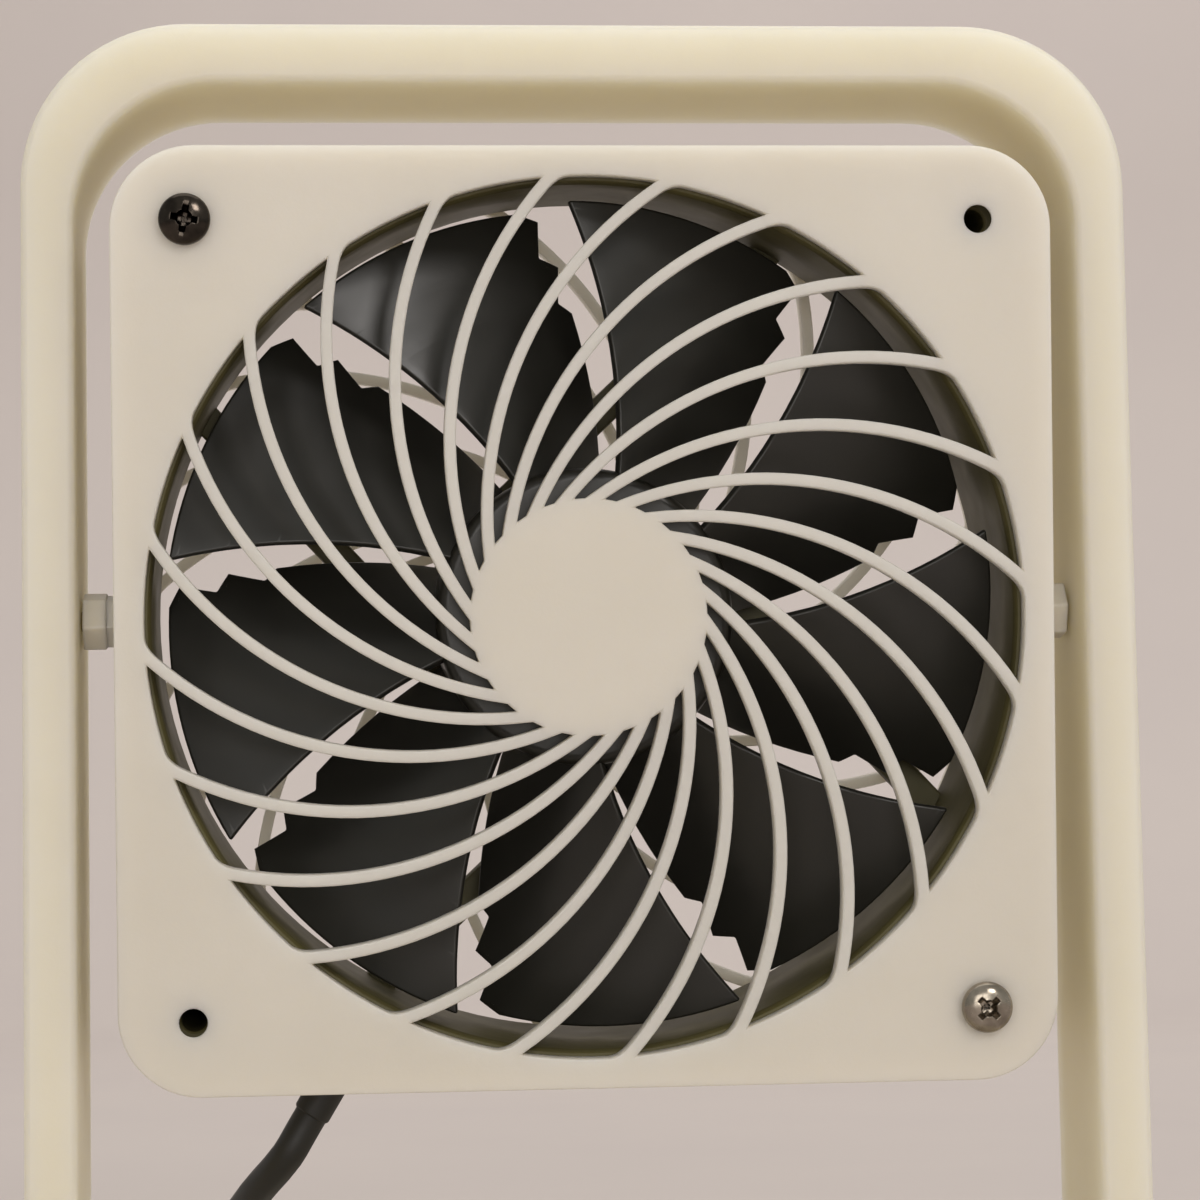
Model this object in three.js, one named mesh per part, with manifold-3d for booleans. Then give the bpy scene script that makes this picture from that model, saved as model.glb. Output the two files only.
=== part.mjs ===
// Desk air circulator: a square fan head that tilts between the legs of an arch stand.
// Millimetres, +Z up. The grille faces -Y and the origin is on the table, under the middle of the base.

import * as THREE from 'three';
import { mergeVertices } from 'three/addons/utils/BufferGeometryUtils.js';
import Module from 'manifold-3d';

const wasm = await Module();
wasm.setup();

// ---------------------------------------------------------------- driving dimensions

// Clearances
const GAP = 0.3; // between two pieces that touch
const AIR_GAP = 0.6; // between the magnet and the stator
const OVERSHOOT = 1; // how far a cutter runs past the piece that it cuts

// Straight runs and sides
const ROUND_STEPS = 24; // round a motor piece
const SMALL_STEPS = 10; // round a screw, hole or foot
const BORE_STEPS = 16; // round a pivot's counterbore and chamfer
const HUB_STEPS = 32; // round the impeller's hub
const RIM_STEPS = 48; // round the duct and the opening
const LIP_STEPS = 28; // round the outside of the lip behind the opening
const RIB_STEPS = 6; // along each side of a rib
const SHOE_STEPS = 4; // along a stator shoe
const BLADE_ROOT_STEPS = 3; // from the hub to the first notch
const CHORD_STEPS = 4; // across a blade
const RIM_STEPS_PER_WINDOW = 2; // along the rim of a window
const CORNER_STEPS = 4; // round a corner
const BEND_STEPS = 6; // round a wide corner of the arch or the base
const EDGE_STEPS = 2; // across a rounded edge

// Fan unit, 120 mm wide with these values
const TIP_CLEARANCE = 2.1; // between the blade tips and the duct
const DUCT_WALL = 1.05;
const FAN_RIM = 0.95; // from the duct to the side of the frame
const FAN_DEPTH = 25;
const FAN_FLANGE = 3.6;
const FAN_SCREW_INSET = 7.5;
const FAN_POST_R = 4.6;
const STRUT_COUNT = 4;
const STRUT_WIDTH = 4.2;
const STRUT_DEPTH = 3.6;
const STRUT_ANGLE = 43.2; // the way the first strut points, from +X
const STRUT_INSET = 2.6; // from the edge of the motor cup to a strut's centre line
const STRUT_ROOT = 1; // how far a strut reaches into the cup's wall
const MOTOR_CUP_R = 20.6;
const MOTOR_CUP_FLOOR = 1.8;
const MOTOR_CUP_DEPTH = 5;

// Housing shells, one facing forward and one facing back
const SHELL_WALL = 2;
const SHELL_CORNER_R = 11;
const FACE_THICKNESS = 3.2;
const FACE_STANDOFF = 1.3;
const BOSS_R = 4;

// Spiral grille in each shell
const OPENING_LEDGE = 0.4; // how far the opening clears the duct
const GRILLE_DISC_R = 15.7;
const RIB_COUNT = 24;
const RIB_WIDTH = 1.57;
const RIB_ARC_R = 52;
const RIB_ARC_CENTRE_R = 41;
const RIB_FIRST_CENTRE_ANGLE = -55.7;
const WINDOW_FILLET_R = 1.3;

// Cover screws
const SCREW_SHANK_R = 1.5;
const SCREW_HEAD_R = 3.4;
const SCREW_HEAD_HEIGHT = 2.1;
const COVER_SCREW_LENGTH = 14;
const PAN_HEAD_CURVE = [
  [0.6, 0.92],
  [0.96, 0.5],
]; // shares of the head's radius and height

// Impeller
const BLADE_COUNT = 9;
const BLADE_TIP_R = 55.9;
const BLADE_CHORD_ANGLE = 35.2;
const BLADE_ROOT_ANGLE = 2.6; // trailing edge at the hub, from +X
const BLADE_SWEEP_PER_MM = 0.39;
const BLADE_ROOT_HEIGHT = 15;
const BLADE_TIP_HEIGHT = 12.4;
const BLADE_CAMBER = 0.35;
const BLADE_ROOT_THICKNESS = 1.9;
const BLADE_TIP_THICKNESS = 1.1;
const BLADE_EDGE_THICKNESS = 0.55;
const BLADE_FRONT_SETBACK = 3.6;
const NOTCH_COUNT = 3;
const NOTCH_FIRST_R = 41.8;
const NOTCH_PITCH = 6.4;
const NOTCH_RISE = 1.5;
const HUB_R = 20;
const HUB_WALL = 1.6;
const HUB_FRONT_SETBACK = 2;
const HUB_HEIGHT = 17;
const HUB_EDGE = 1.2;

// Motor
const YOKE_WALL = 0.9;
const MAGNET_WALL = 1.8;
const MOTOR_LENGTH = 9;
const STATOR_LENGTH = 6;
const STATOR_POLES = 4;
const STATOR_NECK = 4.2;
const STATOR_CORE_WALL = 1.6;
const STATOR_SHOE = 1.7;
const STATOR_SLOT_HALF_ANGLE = 7;
const WINDING_WALL = 1.5;
const WINDING_LENGTH = 4.3;
const SHAFT_R = 1.5;
const SHAFT_NECK_R = 1.05;
const SLEEVE_WALL = 1.4;
const BEARING_TUBE_WALL = 1.3;
const BEARING_LENGTH = 13;
const BOARD_THICKNESS = 1;
const CLIP_THICKNESS = 0.5;
const CLIP_RIM = 0.9; // how far the clip stands out from the shaft

// Arch stand
const SIDE_PLAY = 5.3; // between the head and each leg
const LEG_WIDTH = 6.9;
const ARCH_DEPTH = 26.6;
const ARCH_BAR = 7.9;
const TOP_PLAY = 9.1; // between the head and the arch's bar
const ARCH_OUTER_R = 22;
const ARCH_INNER_R = 19;
const ARCH_EDGE_ROUND = 1;
const TILT_AXIS_HEIGHT = 112;
const HEAD_REST_TILT = 4.7; // degrees, top forward

// Tilt pivots
const HEX_ACROSS_FLATS = 6;
const HEX_TURN = 8;
const HEX_CHAMFER = 0.6;
const PIVOT_NECK_R = 2.5;
const PIVOT_FLANGE_R = 4.2;
const PIVOT_FLANGE = 0.65;
const PIVOT_HEAD_R = 2.9;
const PIVOT_HEAD_HEIGHT = 2;

// Base
const BASE_DEPTH = 92;
const BASE_SIDE_MARGIN = 3.5;
const BASE_HEIGHT = 11;
const BASE_WALL = 3;
const BASE_CORNER_R = 20;
const BASE_EDGE_ROUND = 2;
const LEG_SOCKET_DEPTH = 4;
const LEG_SOCKET_WALL = 3;
const LEG_SCREW_SPACING = 14;
const LEG_SCREW_LENGTH = 12;
const LEG_SCREW_HEAD_R = 2.7;
const LEG_SCREW_HEAD_HEIGHT = 1.5;
const BASE_COVER = 2.4;
const BALLAST_WIDTH = 104;
const BALLAST_DEPTH = 62;
const BALLAST_THICKNESS = 4;
const BALLAST_CORNER_R = 6;
const FOOT_R = 6;
const FOOT_EDGE = 0.6;
const FOOT_PROUD = 1.5;
const FOOT_RECESS = 1;
const FOOT_INSET = 16;

// Cord
const CORD_R = 2.3;
const CORD_EXIT_X = -33.8;
const CORD_EXIT_SLANT = 31; // degrees from straight down
const GLAND_FLANGE = 1.2;
const GLAND_R = 4.1;
const GLAND_BOOT = 2.2;
const GLAND_WALL = 1;
const GLAND_INSIDE = 0.8; // how far the gland stands inside the wall
const GLAND_BOOT_WALL = 0.8;
const GLAND_TIP_WALL = 0.3;
const CORD_SIDES = 8;
const CORD_STEPS = 30;
const TAIL_STEPS = 10;
const COIL_CENTRE = new THREE.Vector2(-6, 100);
const COIL_MIDDLE_R = 27.6;
const COIL_PITCH = 5.15;
const COIL_LOWER_TURNS = 3.5;
const COIL_UPPER_TURNS = 3.25;
const COIL_CLIMB_TURNS = 0.5;
const COIL_TURN_IN = 0.8; // how far the climbing half turn draws in
const COIL_LIFT = 1.1;
const COIL_STEPS_PER_TURN = 24;
const COIL_SIDES = 6;
const COIL_START_ANGLE = 180;
const TIE_WIDTH = 7;
const TIE_THICKNESS = 0.6;
const TIE_SLACK = 0.4;
const TIE_CORNER_R = 2;
const TIE_ANGLE = 140;
const PLUG_BODY = new THREE.Vector3(15.6, 27, 8);
const PLUG_CORNER_R = 2.4;
const PLUG_SHELL = new THREE.Vector3(12, 12, 4.5);
const PLUG_SHELL_WALL = 0.4;
const PLUG_SHELL_CORNER_R = 0.7;
const PLUG_FROM_COIL = new THREE.Vector2(31, 33.5);

// ---------------------------------------------------------------- derived places

const DUCT_R = BLADE_TIP_R + TIP_CLEARANCE;
const OPENING_R = DUCT_R + OPENING_LEDGE;
const FAN_HALF = DUCT_R + DUCT_WALL + FAN_RIM;
const FAN_SCREW_REACH = FAN_HALF - FAN_SCREW_INSET;
const SHELL_HALF = FAN_HALF + GAP + SHELL_WALL;
const HEAD_HALF_DEPTH = FAN_DEPTH / 2 + GAP + FACE_STANDOFF + FACE_THICKNESS;
const FAN_FRONT = -FAN_DEPTH / 2;
const FAN_REAR = FAN_DEPTH / 2;
const FAN_CORNER_R = SHELL_CORNER_R - SHELL_WALL - GAP;
const SCREW_HOLE_R = SCREW_SHANK_R + GAP;
const LEG_INNER_X = SHELL_HALF + SIDE_PLAY;
const LEG_OUTER_X = LEG_INNER_X + LEG_WIDTH;
const ARCH_TOP = TILT_AXIS_HEIGHT + SHELL_HALF + TOP_PLAY + ARCH_BAR;
const BASE_WIDTH = 2 * (LEG_OUTER_X + BASE_SIDE_MARGIN);
const BASE_TOP = FOOT_PROUD + BASE_HEIGHT;
const COVER_TOP = FOOT_PROUD + BASE_COVER;
const LEG_FOOT = BASE_TOP - LEG_SOCKET_DEPTH + GAP;
const CUP_FLOOR_Y = FAN_REAR - MOTOR_CUP_FLOOR;
const HUB_FRONT = FAN_FRONT + HUB_FRONT_SETBACK;
const YOKE_R = HUB_R - HUB_WALL - GAP;
const MAGNET_R = YOKE_R - YOKE_WALL - GAP;
const STATOR_R = MAGNET_R - MAGNET_WALL - AIR_GAP;
const SLEEVE_BORE_R = SHAFT_R + GAP;
const SLEEVE_R = SLEEVE_BORE_R + SLEEVE_WALL;
const BEARING_TUBE_BORE_R = SLEEVE_R + GAP;
const BEARING_TUBE_R = BEARING_TUBE_BORE_R + BEARING_TUBE_WALL;
const BEARING_FRONT = CUP_FLOOR_Y - BEARING_LENGTH;
const STATOR_CORE_R = BEARING_TUBE_R + GAP + STATOR_CORE_WALL;
const CLIP_Y = CUP_FLOOR_Y - BOARD_THICKNESS;
const GLAND_BODY_R = CORD_R + GLAND_WALL;
const CORD_EXIT_Y = FAN_REAR - FAN_FLANGE - GLAND_BODY_R - 2 * GAP; // between the fan's flanges
const GLAND_SEAT = GLAND_R * Math.tan(THREE.MathUtils.degToRad(CORD_EXIT_SLANT)) + GAP;
const GLAND_END = GLAND_SEAT + GLAND_FLANGE + GLAND_BOOT;
const COIL_HEIGHT = CORD_R + COIL_LIFT;

// ---------------------------------------------------------------- materials

const material = (color, roughness, metalness = 0) =>
  new THREE.MeshStandardMaterial({ color, roughness, metalness });

const CREAM_PLASTIC = () => material('#d9ccb9', 0.55);
const SMOKY_PLASTIC = () => material('#4f4a42', 0.35);
const BLACK_PLASTIC = () => material('#26241f', 0.35);
const BLACK_RUBBER = () => material('#151515', 0.8);
const NICKEL = () => material('#9a958e', 0.3, 1);
const STEEL = () => material('#8d8f92', 0.4, 1);
const COPPER = () => material('#b4683a', 0.4, 1);
const MAGNET_GREY = () => material('#33312f', 0.7);
const BRONZE = () => material('#9b7a4a', 0.5, 1);
const BOARD_GREEN = () => material('#2f5a3c', 0.6);

// ---------------------------------------------------------------- geometry helpers

const radians = THREE.MathUtils.degToRad;

/** A point at a radius and an angle in degrees, counted from +X towards +Y of a drawing. */
function polar(radius, degrees) {
  return new THREE.Vector2(radius * Math.cos(radians(degrees)), radius * Math.sin(radians(degrees)));
}

/** The angle of a point in a drawing, in degrees from +X. */
function angleOf(point) {
  return THREE.MathUtils.radToDeg(Math.atan2(point.y, point.x));
}

/** Turns a closed geometry into a solid that can be joined and cut. */
function solid(geometry) {
  const bare = geometry.clone();
  bare.deleteAttribute('normal');
  bare.deleteAttribute('uv');
  const merged = mergeVertices(bare, 1e-4);
  return new wasm.Manifold(
    new wasm.Mesh({
      numProp: 3,
      vertProperties: new Float32Array(merged.attributes.position.array),
      triVerts: new Uint32Array(merged.index.array),
    }),
  );
}

/** Turns a solid back into a geometry. */
function geometryOf(body) {
  const mesh = body.getMesh();
  const geometry = new THREE.BufferGeometry();
  geometry.setAttribute('position', new THREE.Float32BufferAttribute(mesh.vertProperties, 3));
  geometry.setIndex(new THREE.Uint32BufferAttribute(mesh.triVerts, 1));
  geometry.computeVertexNormals();
  return geometry;
}

function joined(parts) {
  return parts.map(solid).reduce((whole, part) => whole.add(part));
}

function cutFrom(body, cutters) {
  return cutters.map(solid).reduce((whole, cutter) => whole.subtract(cutter), body);
}

/** Extrudes a drawing made in X and Z along Y, from front to rear. */
function alongY(shape, front, rear, options = {}) {
  const geometry = new THREE.ExtrudeGeometry(shape, {
    depth: rear - front,
    bevelEnabled: false,
    curveSegments: CORNER_STEPS,
    ...options,
  });
  return geometry.rotateX(Math.PI / 2).translate(0, rear, 0);
}

/** Extrudes a drawing made in X and Y along Z, from bottom to top. */
function alongZ(shape, bottom, top, options = {}) {
  const geometry = new THREE.ExtrudeGeometry(shape, {
    depth: top - bottom,
    bevelEnabled: false,
    curveSegments: CORNER_STEPS,
    ...options,
  });
  return geometry.translate(0, 0, bottom);
}

/** A closed revolve about the Y axis from [radius, y] pairs, given in either direction round the profile. */
function revolved(pairs, steps = ROUND_STEPS) {
  const points = pairs.map(([radius, y]) => new THREE.Vector2(radius, y));
  if (THREE.ShapeUtils.area(points) < 0) {
    points.reverse();
  }
  points.push(points[0].clone());
  return new THREE.LatheGeometry(points, steps);
}

/** A round bar or hole along Y. */
function barAlongY(radius, front, rear, steps = ROUND_STEPS) {
  return new THREE.CylinderGeometry(radius, radius, rear - front, steps).translate(0, (front + rear) / 2, 0);
}

/** A round bar or hole along X. */
function barAlongX(radius, left, right, steps = ROUND_STEPS) {
  const bar = new THREE.CylinderGeometry(radius, radius, right - left, steps);
  return bar.rotateZ(Math.PI / 2).translate((left + right) / 2, 0, 0);
}

/** A round bar or hole along Z. */
function barAlongZ(radius, bottom, top, steps = ROUND_STEPS) {
  return new THREE.CylinderGeometry(radius, radius, top - bottom, steps)
    .rotateX(Math.PI / 2)
    .translate(0, 0, (bottom + top) / 2);
}

function block(width, depth, height, x, y, z) {
  return new THREE.BoxGeometry(width, depth, height).translate(x, y, z);
}

function roundedRectangle(halfWidth, halfHeight, radius) {
  const shape = new THREE.Shape();
  shape.moveTo(-halfWidth + radius, -halfHeight);
  shape.lineTo(halfWidth - radius, -halfHeight);
  shape.absarc(halfWidth - radius, -halfHeight + radius, radius, -Math.PI / 2, 0);
  shape.lineTo(halfWidth, halfHeight - radius);
  shape.absarc(halfWidth - radius, halfHeight - radius, radius, 0, Math.PI / 2);
  shape.lineTo(-halfWidth + radius, halfHeight);
  shape.absarc(-halfWidth + radius, halfHeight - radius, radius, Math.PI / 2, Math.PI);
  shape.lineTo(-halfWidth, -halfHeight + radius);
  shape.absarc(-halfWidth + radius, -halfHeight + radius, radius, Math.PI, 1.5 * Math.PI);
  return shape;
}

function circlePath(radius, steps = RIM_STEPS, x = 0, y = 0) {
  const points = [];
  for (let i = 0; i < steps; i += 1) {
    const angle = (2 * Math.PI * i) / steps;
    points.push(new THREE.Vector2(x + radius * Math.cos(angle), y + radius * Math.sin(angle)));
  }
  return new THREE.Path(points);
}

/** The four fan screw places, as [x, z] signs. */
const CORNERS = [
  [-1, 1],
  [1, 1],
  [1, -1],
  [-1, -1],
];

function cornerPoint([signX, signZ]) {
  return new THREE.Vector2(signX * FAN_SCREW_REACH, signZ * FAN_SCREW_REACH);
}

function namedMesh(name, geometry, look) {
  const mesh = new THREE.Mesh(geometry, look());
  mesh.name = name;
  return mesh;
}

// ---------------------------------------------------------------- spiral grille

/** Angle of a point on a rib's arc, at a radius from the fan axis, measured from the arc's centre line. */
function angleFromArcCentre(radius, arcR) {
  const cosine = (RIB_ARC_CENTRE_R ** 2 + radius ** 2 - arcR ** 2) / (2 * RIB_ARC_CENTRE_R * radius);
  return THREE.MathUtils.radToDeg(Math.acos(THREE.MathUtils.clamp(cosine, -1, 1)));
}

/** Points along one side of a rib, from the first radius to the last. */
function ribSide(index, arcR, firstR, lastR, steps) {
  const centreAngle = RIB_FIRST_CENTRE_ANGLE + (360 / RIB_COUNT) * index;
  const points = [];
  for (let i = 0; i <= steps; i += 1) {
    const radius = THREE.MathUtils.lerp(firstR, lastR, i / steps);
    points.push(polar(radius, centreAngle + angleFromArcCentre(radius, arcR)));
  }
  return points;
}

/** One window between two ribs: up one rib, round the rim to a fillet at the open corner, and back. */
function grilleWindow(index) {
  const outerSide = RIB_ARC_R + RIB_WIDTH / 2;
  const innerSide = RIB_ARC_R - RIB_WIDTH / 2;
  const filletEndR = OPENING_R - WINDOW_FILLET_R;
  const rising = ribSide(index, outerSide, GRILLE_DISC_R, OPENING_R, RIB_STEPS);
  const falling = ribSide(index + 1, innerSide, filletEndR, GRILLE_DISC_R, RIB_STEPS);
  const rimStart = angleOf(rising[rising.length - 1]);
  const [openCorner] = ribSide(index + 1, innerSide, OPENING_R, filletEndR, 1);
  const rimEnd = angleOf(openCorner);
  const span = THREE.MathUtils.euclideanModulo(rimEnd - rimStart, 360);
  const filletTurn = THREE.MathUtils.radToDeg(WINDOW_FILLET_R / OPENING_R);
  const rim = [];
  for (let i = 1; i <= RIM_STEPS_PER_WINDOW; i += 1) {
    const turn = ((span - filletTurn) * i) / RIM_STEPS_PER_WINDOW;
    rim.push(polar(OPENING_R, rimStart + turn));
  }
  return new THREE.Path([...rising, ...rim, ...falling]);
}

/** The face of a shell: a rounded square pierced by the spiral windows and four screw holes. */
function grilleFaceShape() {
  const face = roundedRectangle(SHELL_HALF, SHELL_HALF, SHELL_CORNER_R);
  for (let index = 0; index < RIB_COUNT; index += 1) {
    face.holes.push(grilleWindow(index));
  }
  for (const corner of CORNERS) {
    const centre = cornerPoint(corner);
    face.holes.push(circlePath(SCREW_HOLE_R, SMALL_STEPS, centre.x, centre.y));
  }
  return face;
}

/** Skirt of a shell, from the face to the parting line. */
function skirtShape() {
  const skirt = roundedRectangle(SHELL_HALF, SHELL_HALF, SHELL_CORNER_R);
  const inner = SHELL_HALF - SHELL_WALL;
  skirt.holes.push(roundedRectangle(inner, inner, SHELL_CORNER_R - SHELL_WALL));
  return skirt;
}

/** The lip round the opening, which meets the fan's flange. */
function lipShape() {
  const lip = new THREE.Shape(circlePath(SHELL_HALF - SHELL_WALL / 2, LIP_STEPS).getPoints());
  lip.holes.push(circlePath(OPENING_R + GAP));
  return lip;
}

function bossShape(corner) {
  const centre = cornerPoint(corner);
  const boss = new THREE.Shape(circlePath(BOSS_R, SMALL_STEPS, centre.x, centre.y).getPoints());
  boss.holes.push(circlePath(SCREW_HOLE_R, SMALL_STEPS, centre.x, centre.y));
  return boss;
}

/** A moulded half of the housing, open towards the parting line, with its grille on -Y. */
function shellSolid() {
  const faceRear = -HEAD_HALF_DEPTH + FACE_THICKNESS;
  const seatRear = faceRear + FACE_STANDOFF;
  const weld = FACE_THICKNESS / 4;
  const pieces = [
    alongY(grilleFaceShape(), -HEAD_HALF_DEPTH, faceRear),
    alongY(skirtShape(), faceRear - weld, -GAP / 2),
    alongY(lipShape(), faceRear - weld, seatRear),
    ...CORNERS.map((corner) => alongY(bossShape(corner), faceRear - weld, seatRear)),
  ];
  const neckHole = PIVOT_NECK_R + GAP;
  const through = SHELL_HALF + OVERSHOOT;
  return cutFrom(joined(pieces), [barAlongX(neckHole, -through, through, SMALL_STEPS)]);
}

/** Turns a piece of the head so that its own -Y points down the cord's exit. */
function toCordExit(geometry) {
  return geometry
    .rotateX(Math.PI / 2)
    .rotateY(radians(CORD_EXIT_SLANT))
    .translate(CORD_EXIT_X, CORD_EXIT_Y, -SHELL_HALF);
}

function frontShell() {
  return namedMesh('front_grille_shell', geometryOf(shellSolid()), CREAM_PLASTIC);
}

function rearShell() {
  const turned = geometryOf(shellSolid()).rotateZ(Math.PI);
  const reach = GLAND_SEAT + SHELL_WALL + OVERSHOOT;
  const hole = toCordExit(barAlongY(GLAND_BODY_R + GAP, -reach, reach, SMALL_STEPS));
  return namedMesh('rear_grille_shell', geometryOf(cutFrom(solid(turned), [hole])), CREAM_PLASTIC);
}

// ---------------------------------------------------------------- fan frame

function flangeShape() {
  const flange = roundedRectangle(FAN_HALF, FAN_HALF, FAN_CORNER_R);
  flange.holes.push(circlePath(DUCT_R));
  return flange;
}

function ductShape() {
  const duct = new THREE.Shape(circlePath(DUCT_R + DUCT_WALL).getPoints());
  duct.holes.push(circlePath(DUCT_R));
  return duct;
}

/** One stator strut: a straight bar that leaves the motor cup along its edge and ends in the duct. */
function strutShape(index) {
  const along = STRUT_ANGLE + (360 / STRUT_COUNT) * index;
  const innerR = MOTOR_CUP_R - STRUT_ROOT;
  const outerR = DUCT_R + DUCT_WALL / 2;
  const middle = MOTOR_CUP_R - STRUT_INSET;
  const near = middle - STRUT_WIDTH / 2;
  const far = middle + STRUT_WIDTH / 2;
  const corner = (offset, radius) => {
    const reach = Math.sqrt(Math.max(0, radius ** 2 - offset ** 2));
    return polar(reach, along).add(polar(offset, along + 90));
  };
  const left = [corner(far, outerR), corner(far, innerR)];
  const right = [corner(near, innerR), corner(near, outerR)];
  return new THREE.Shape([...right, ...left]);
}

/** The motor cup: a floor, a low wall and the tube that holds the bearing. */
function motorCup() {
  const wall = MOTOR_CUP_FLOOR;
  return revolved(
    [
      [0, FAN_REAR],
      [0, CUP_FLOOR_Y],
      [BEARING_TUBE_BORE_R, CUP_FLOOR_Y],
      [BEARING_TUBE_BORE_R, BEARING_FRONT],
      [BEARING_TUBE_R, BEARING_FRONT],
      [BEARING_TUBE_R, CUP_FLOOR_Y],
      [MOTOR_CUP_R - wall, CUP_FLOOR_Y],
      [MOTOR_CUP_R - wall, FAN_REAR - MOTOR_CUP_DEPTH],
      [MOTOR_CUP_R, FAN_REAR - MOTOR_CUP_DEPTH],
      [MOTOR_CUP_R, FAN_REAR],
    ],
  );
}

function fanFrame() {
  const flange = flangeShape();
  const post = (corner) => {
    const { x, y } = cornerPoint(corner);
    return barAlongY(FAN_POST_R, FAN_FRONT, FAN_REAR, SMALL_STEPS).translate(x, 0, y);
  };
  const struts = Array.from({ length: STRUT_COUNT }, (_, index) =>
    alongY(strutShape(index), FAN_REAR - STRUT_DEPTH, FAN_REAR),
  );
  const frame = joined([
    alongY(flange, FAN_FRONT, FAN_FRONT + FAN_FLANGE),
    alongY(flange, FAN_REAR - FAN_FLANGE, FAN_REAR),
    alongY(ductShape(), FAN_FRONT, FAN_REAR),
    ...CORNERS.map(post),
    ...struts,
    motorCup(),
  ]);
  const holes = CORNERS.map((corner) => {
    const { x, y } = cornerPoint(corner);
    const end = FAN_REAR + OVERSHOOT;
    return barAlongY(SCREW_HOLE_R, -end, end, SMALL_STEPS).translate(x, 0, y);
  });
  return namedMesh('fan_frame', geometryOf(cutFrom(frame, holes)), SMOKY_PLASTIC);
}

// ---------------------------------------------------------------- screws

/** A pan-head screw along Y, its head on the -Y side of the seat. */
function panHeadScrew(headR, headHeight, shankR, length, seatY) {
  return revolved(
    [
      [0, seatY - headHeight],
      ...PAN_HEAD_CURVE.map(([out, up]) => [headR * out, seatY - headHeight * up]),
      [headR, seatY],
      [shankR, seatY],
      [shankR, seatY + length - shankR],
      [0, seatY + length],
    ],
    SMALL_STEPS,
  );
}

function coverScrew(name, corner, facesRear) {
  const centre = cornerPoint(corner);
  const seat = -HEAD_HALF_DEPTH - GAP;
  const screw = panHeadScrew(SCREW_HEAD_R, SCREW_HEAD_HEIGHT, SCREW_SHANK_R, COVER_SCREW_LENGTH, seat);
  if (facesRear) {
    screw.rotateZ(Math.PI);
  }
  screw.translate(centre.x, 0, centre.y);
  return namedMesh(name, screw, NICKEL);
}

function coverScrews() {
  return [
    coverScrew('front_screw_top_left', CORNERS[0], false),
    coverScrew('front_screw_bottom_right', CORNERS[2], false),
    coverScrew('rear_screw_top', CORNERS[1], true),
    coverScrew('rear_screw_bottom', CORNERS[3], true),
  ];
}

// ---------------------------------------------------------------- impeller

function notchedRadius(radius) {
  const past = radius - NOTCH_FIRST_R;
  if (past <= 0) {
    return radius;
  }
  const step = Math.floor(past / NOTCH_PITCH);
  const share = Math.min(1, (past - step * NOTCH_PITCH) / NOTCH_RISE);
  return NOTCH_FIRST_R + (step + share) * NOTCH_PITCH;
}

/** Radii at which a blade's section is drawn: even steps to the first notch, then round each notch. */
function bladeStations() {
  const firstR = HUB_R - HUB_WALL / 2;
  const stations = [];
  for (let i = 0; i <= BLADE_ROOT_STEPS; i += 1) {
    stations.push(THREE.MathUtils.lerp(firstR, NOTCH_FIRST_R, i / BLADE_ROOT_STEPS));
  }
  for (let notch = 0; notch < NOTCH_COUNT; notch += 1) {
    const start = NOTCH_FIRST_R + notch * NOTCH_PITCH;
    if (start + NOTCH_RISE < BLADE_TIP_R) {
      stations.push(start + NOTCH_RISE);
    }
    if (notch < NOTCH_COUNT - 1 && start + NOTCH_PITCH < BLADE_TIP_R) {
      stations.push(start + NOTCH_PITCH);
    }
  }
  stations.push(BLADE_TIP_R);
  return stations;
}

/** Points round one blade section, from the trailing edge along the rear and back along the front. */
function bladeSection(radius) {
  const out = (radius - HUB_R) / (BLADE_TIP_R - HUB_R);
  const share = THREE.MathUtils.clamp(out, 0, 1);
  const leading = BLADE_ROOT_ANGLE + BLADE_CHORD_ANGLE + BLADE_SWEEP_PER_MM * (radius - HUB_R);
  const trailing = BLADE_ROOT_ANGLE + BLADE_SWEEP_PER_MM * (notchedRadius(radius) - HUB_R);
  const height = THREE.MathUtils.lerp(BLADE_ROOT_HEIGHT, BLADE_TIP_HEIGHT, share);
  const thickness = THREE.MathUtils.lerp(BLADE_ROOT_THICKNESS, BLADE_TIP_THICKNESS, share);
  const leadingY = FAN_FRONT + BLADE_FRONT_SETBACK + (BLADE_ROOT_HEIGHT - height) / 2;
  const chordStart = (leading - trailing) / BLADE_CHORD_ANGLE;
  const front = [];
  const rear = [];
  for (let i = 0; i <= CHORD_STEPS; i += 1) {
    const along = i / CHORD_STEPS;
    const angle = THREE.MathUtils.lerp(trailing, leading, along);
    const chord = 1 - chordStart * (1 - along);
    const rise = chord + BLADE_CAMBER * chord * (1 - chord);
    const y = leadingY + height * (1 - rise);
    const edge = Math.sin(Math.PI * along);
    const half = THREE.MathUtils.lerp(BLADE_EDGE_THICKNESS, thickness, edge) / 2;
    const place = polar(radius, angle);
    front.push(new THREE.Vector3(place.x, y - half, place.y));
    rear.push(new THREE.Vector3(place.x, y + half, place.y));
  }
  return [...front, ...rear.reverse()];
}

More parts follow.
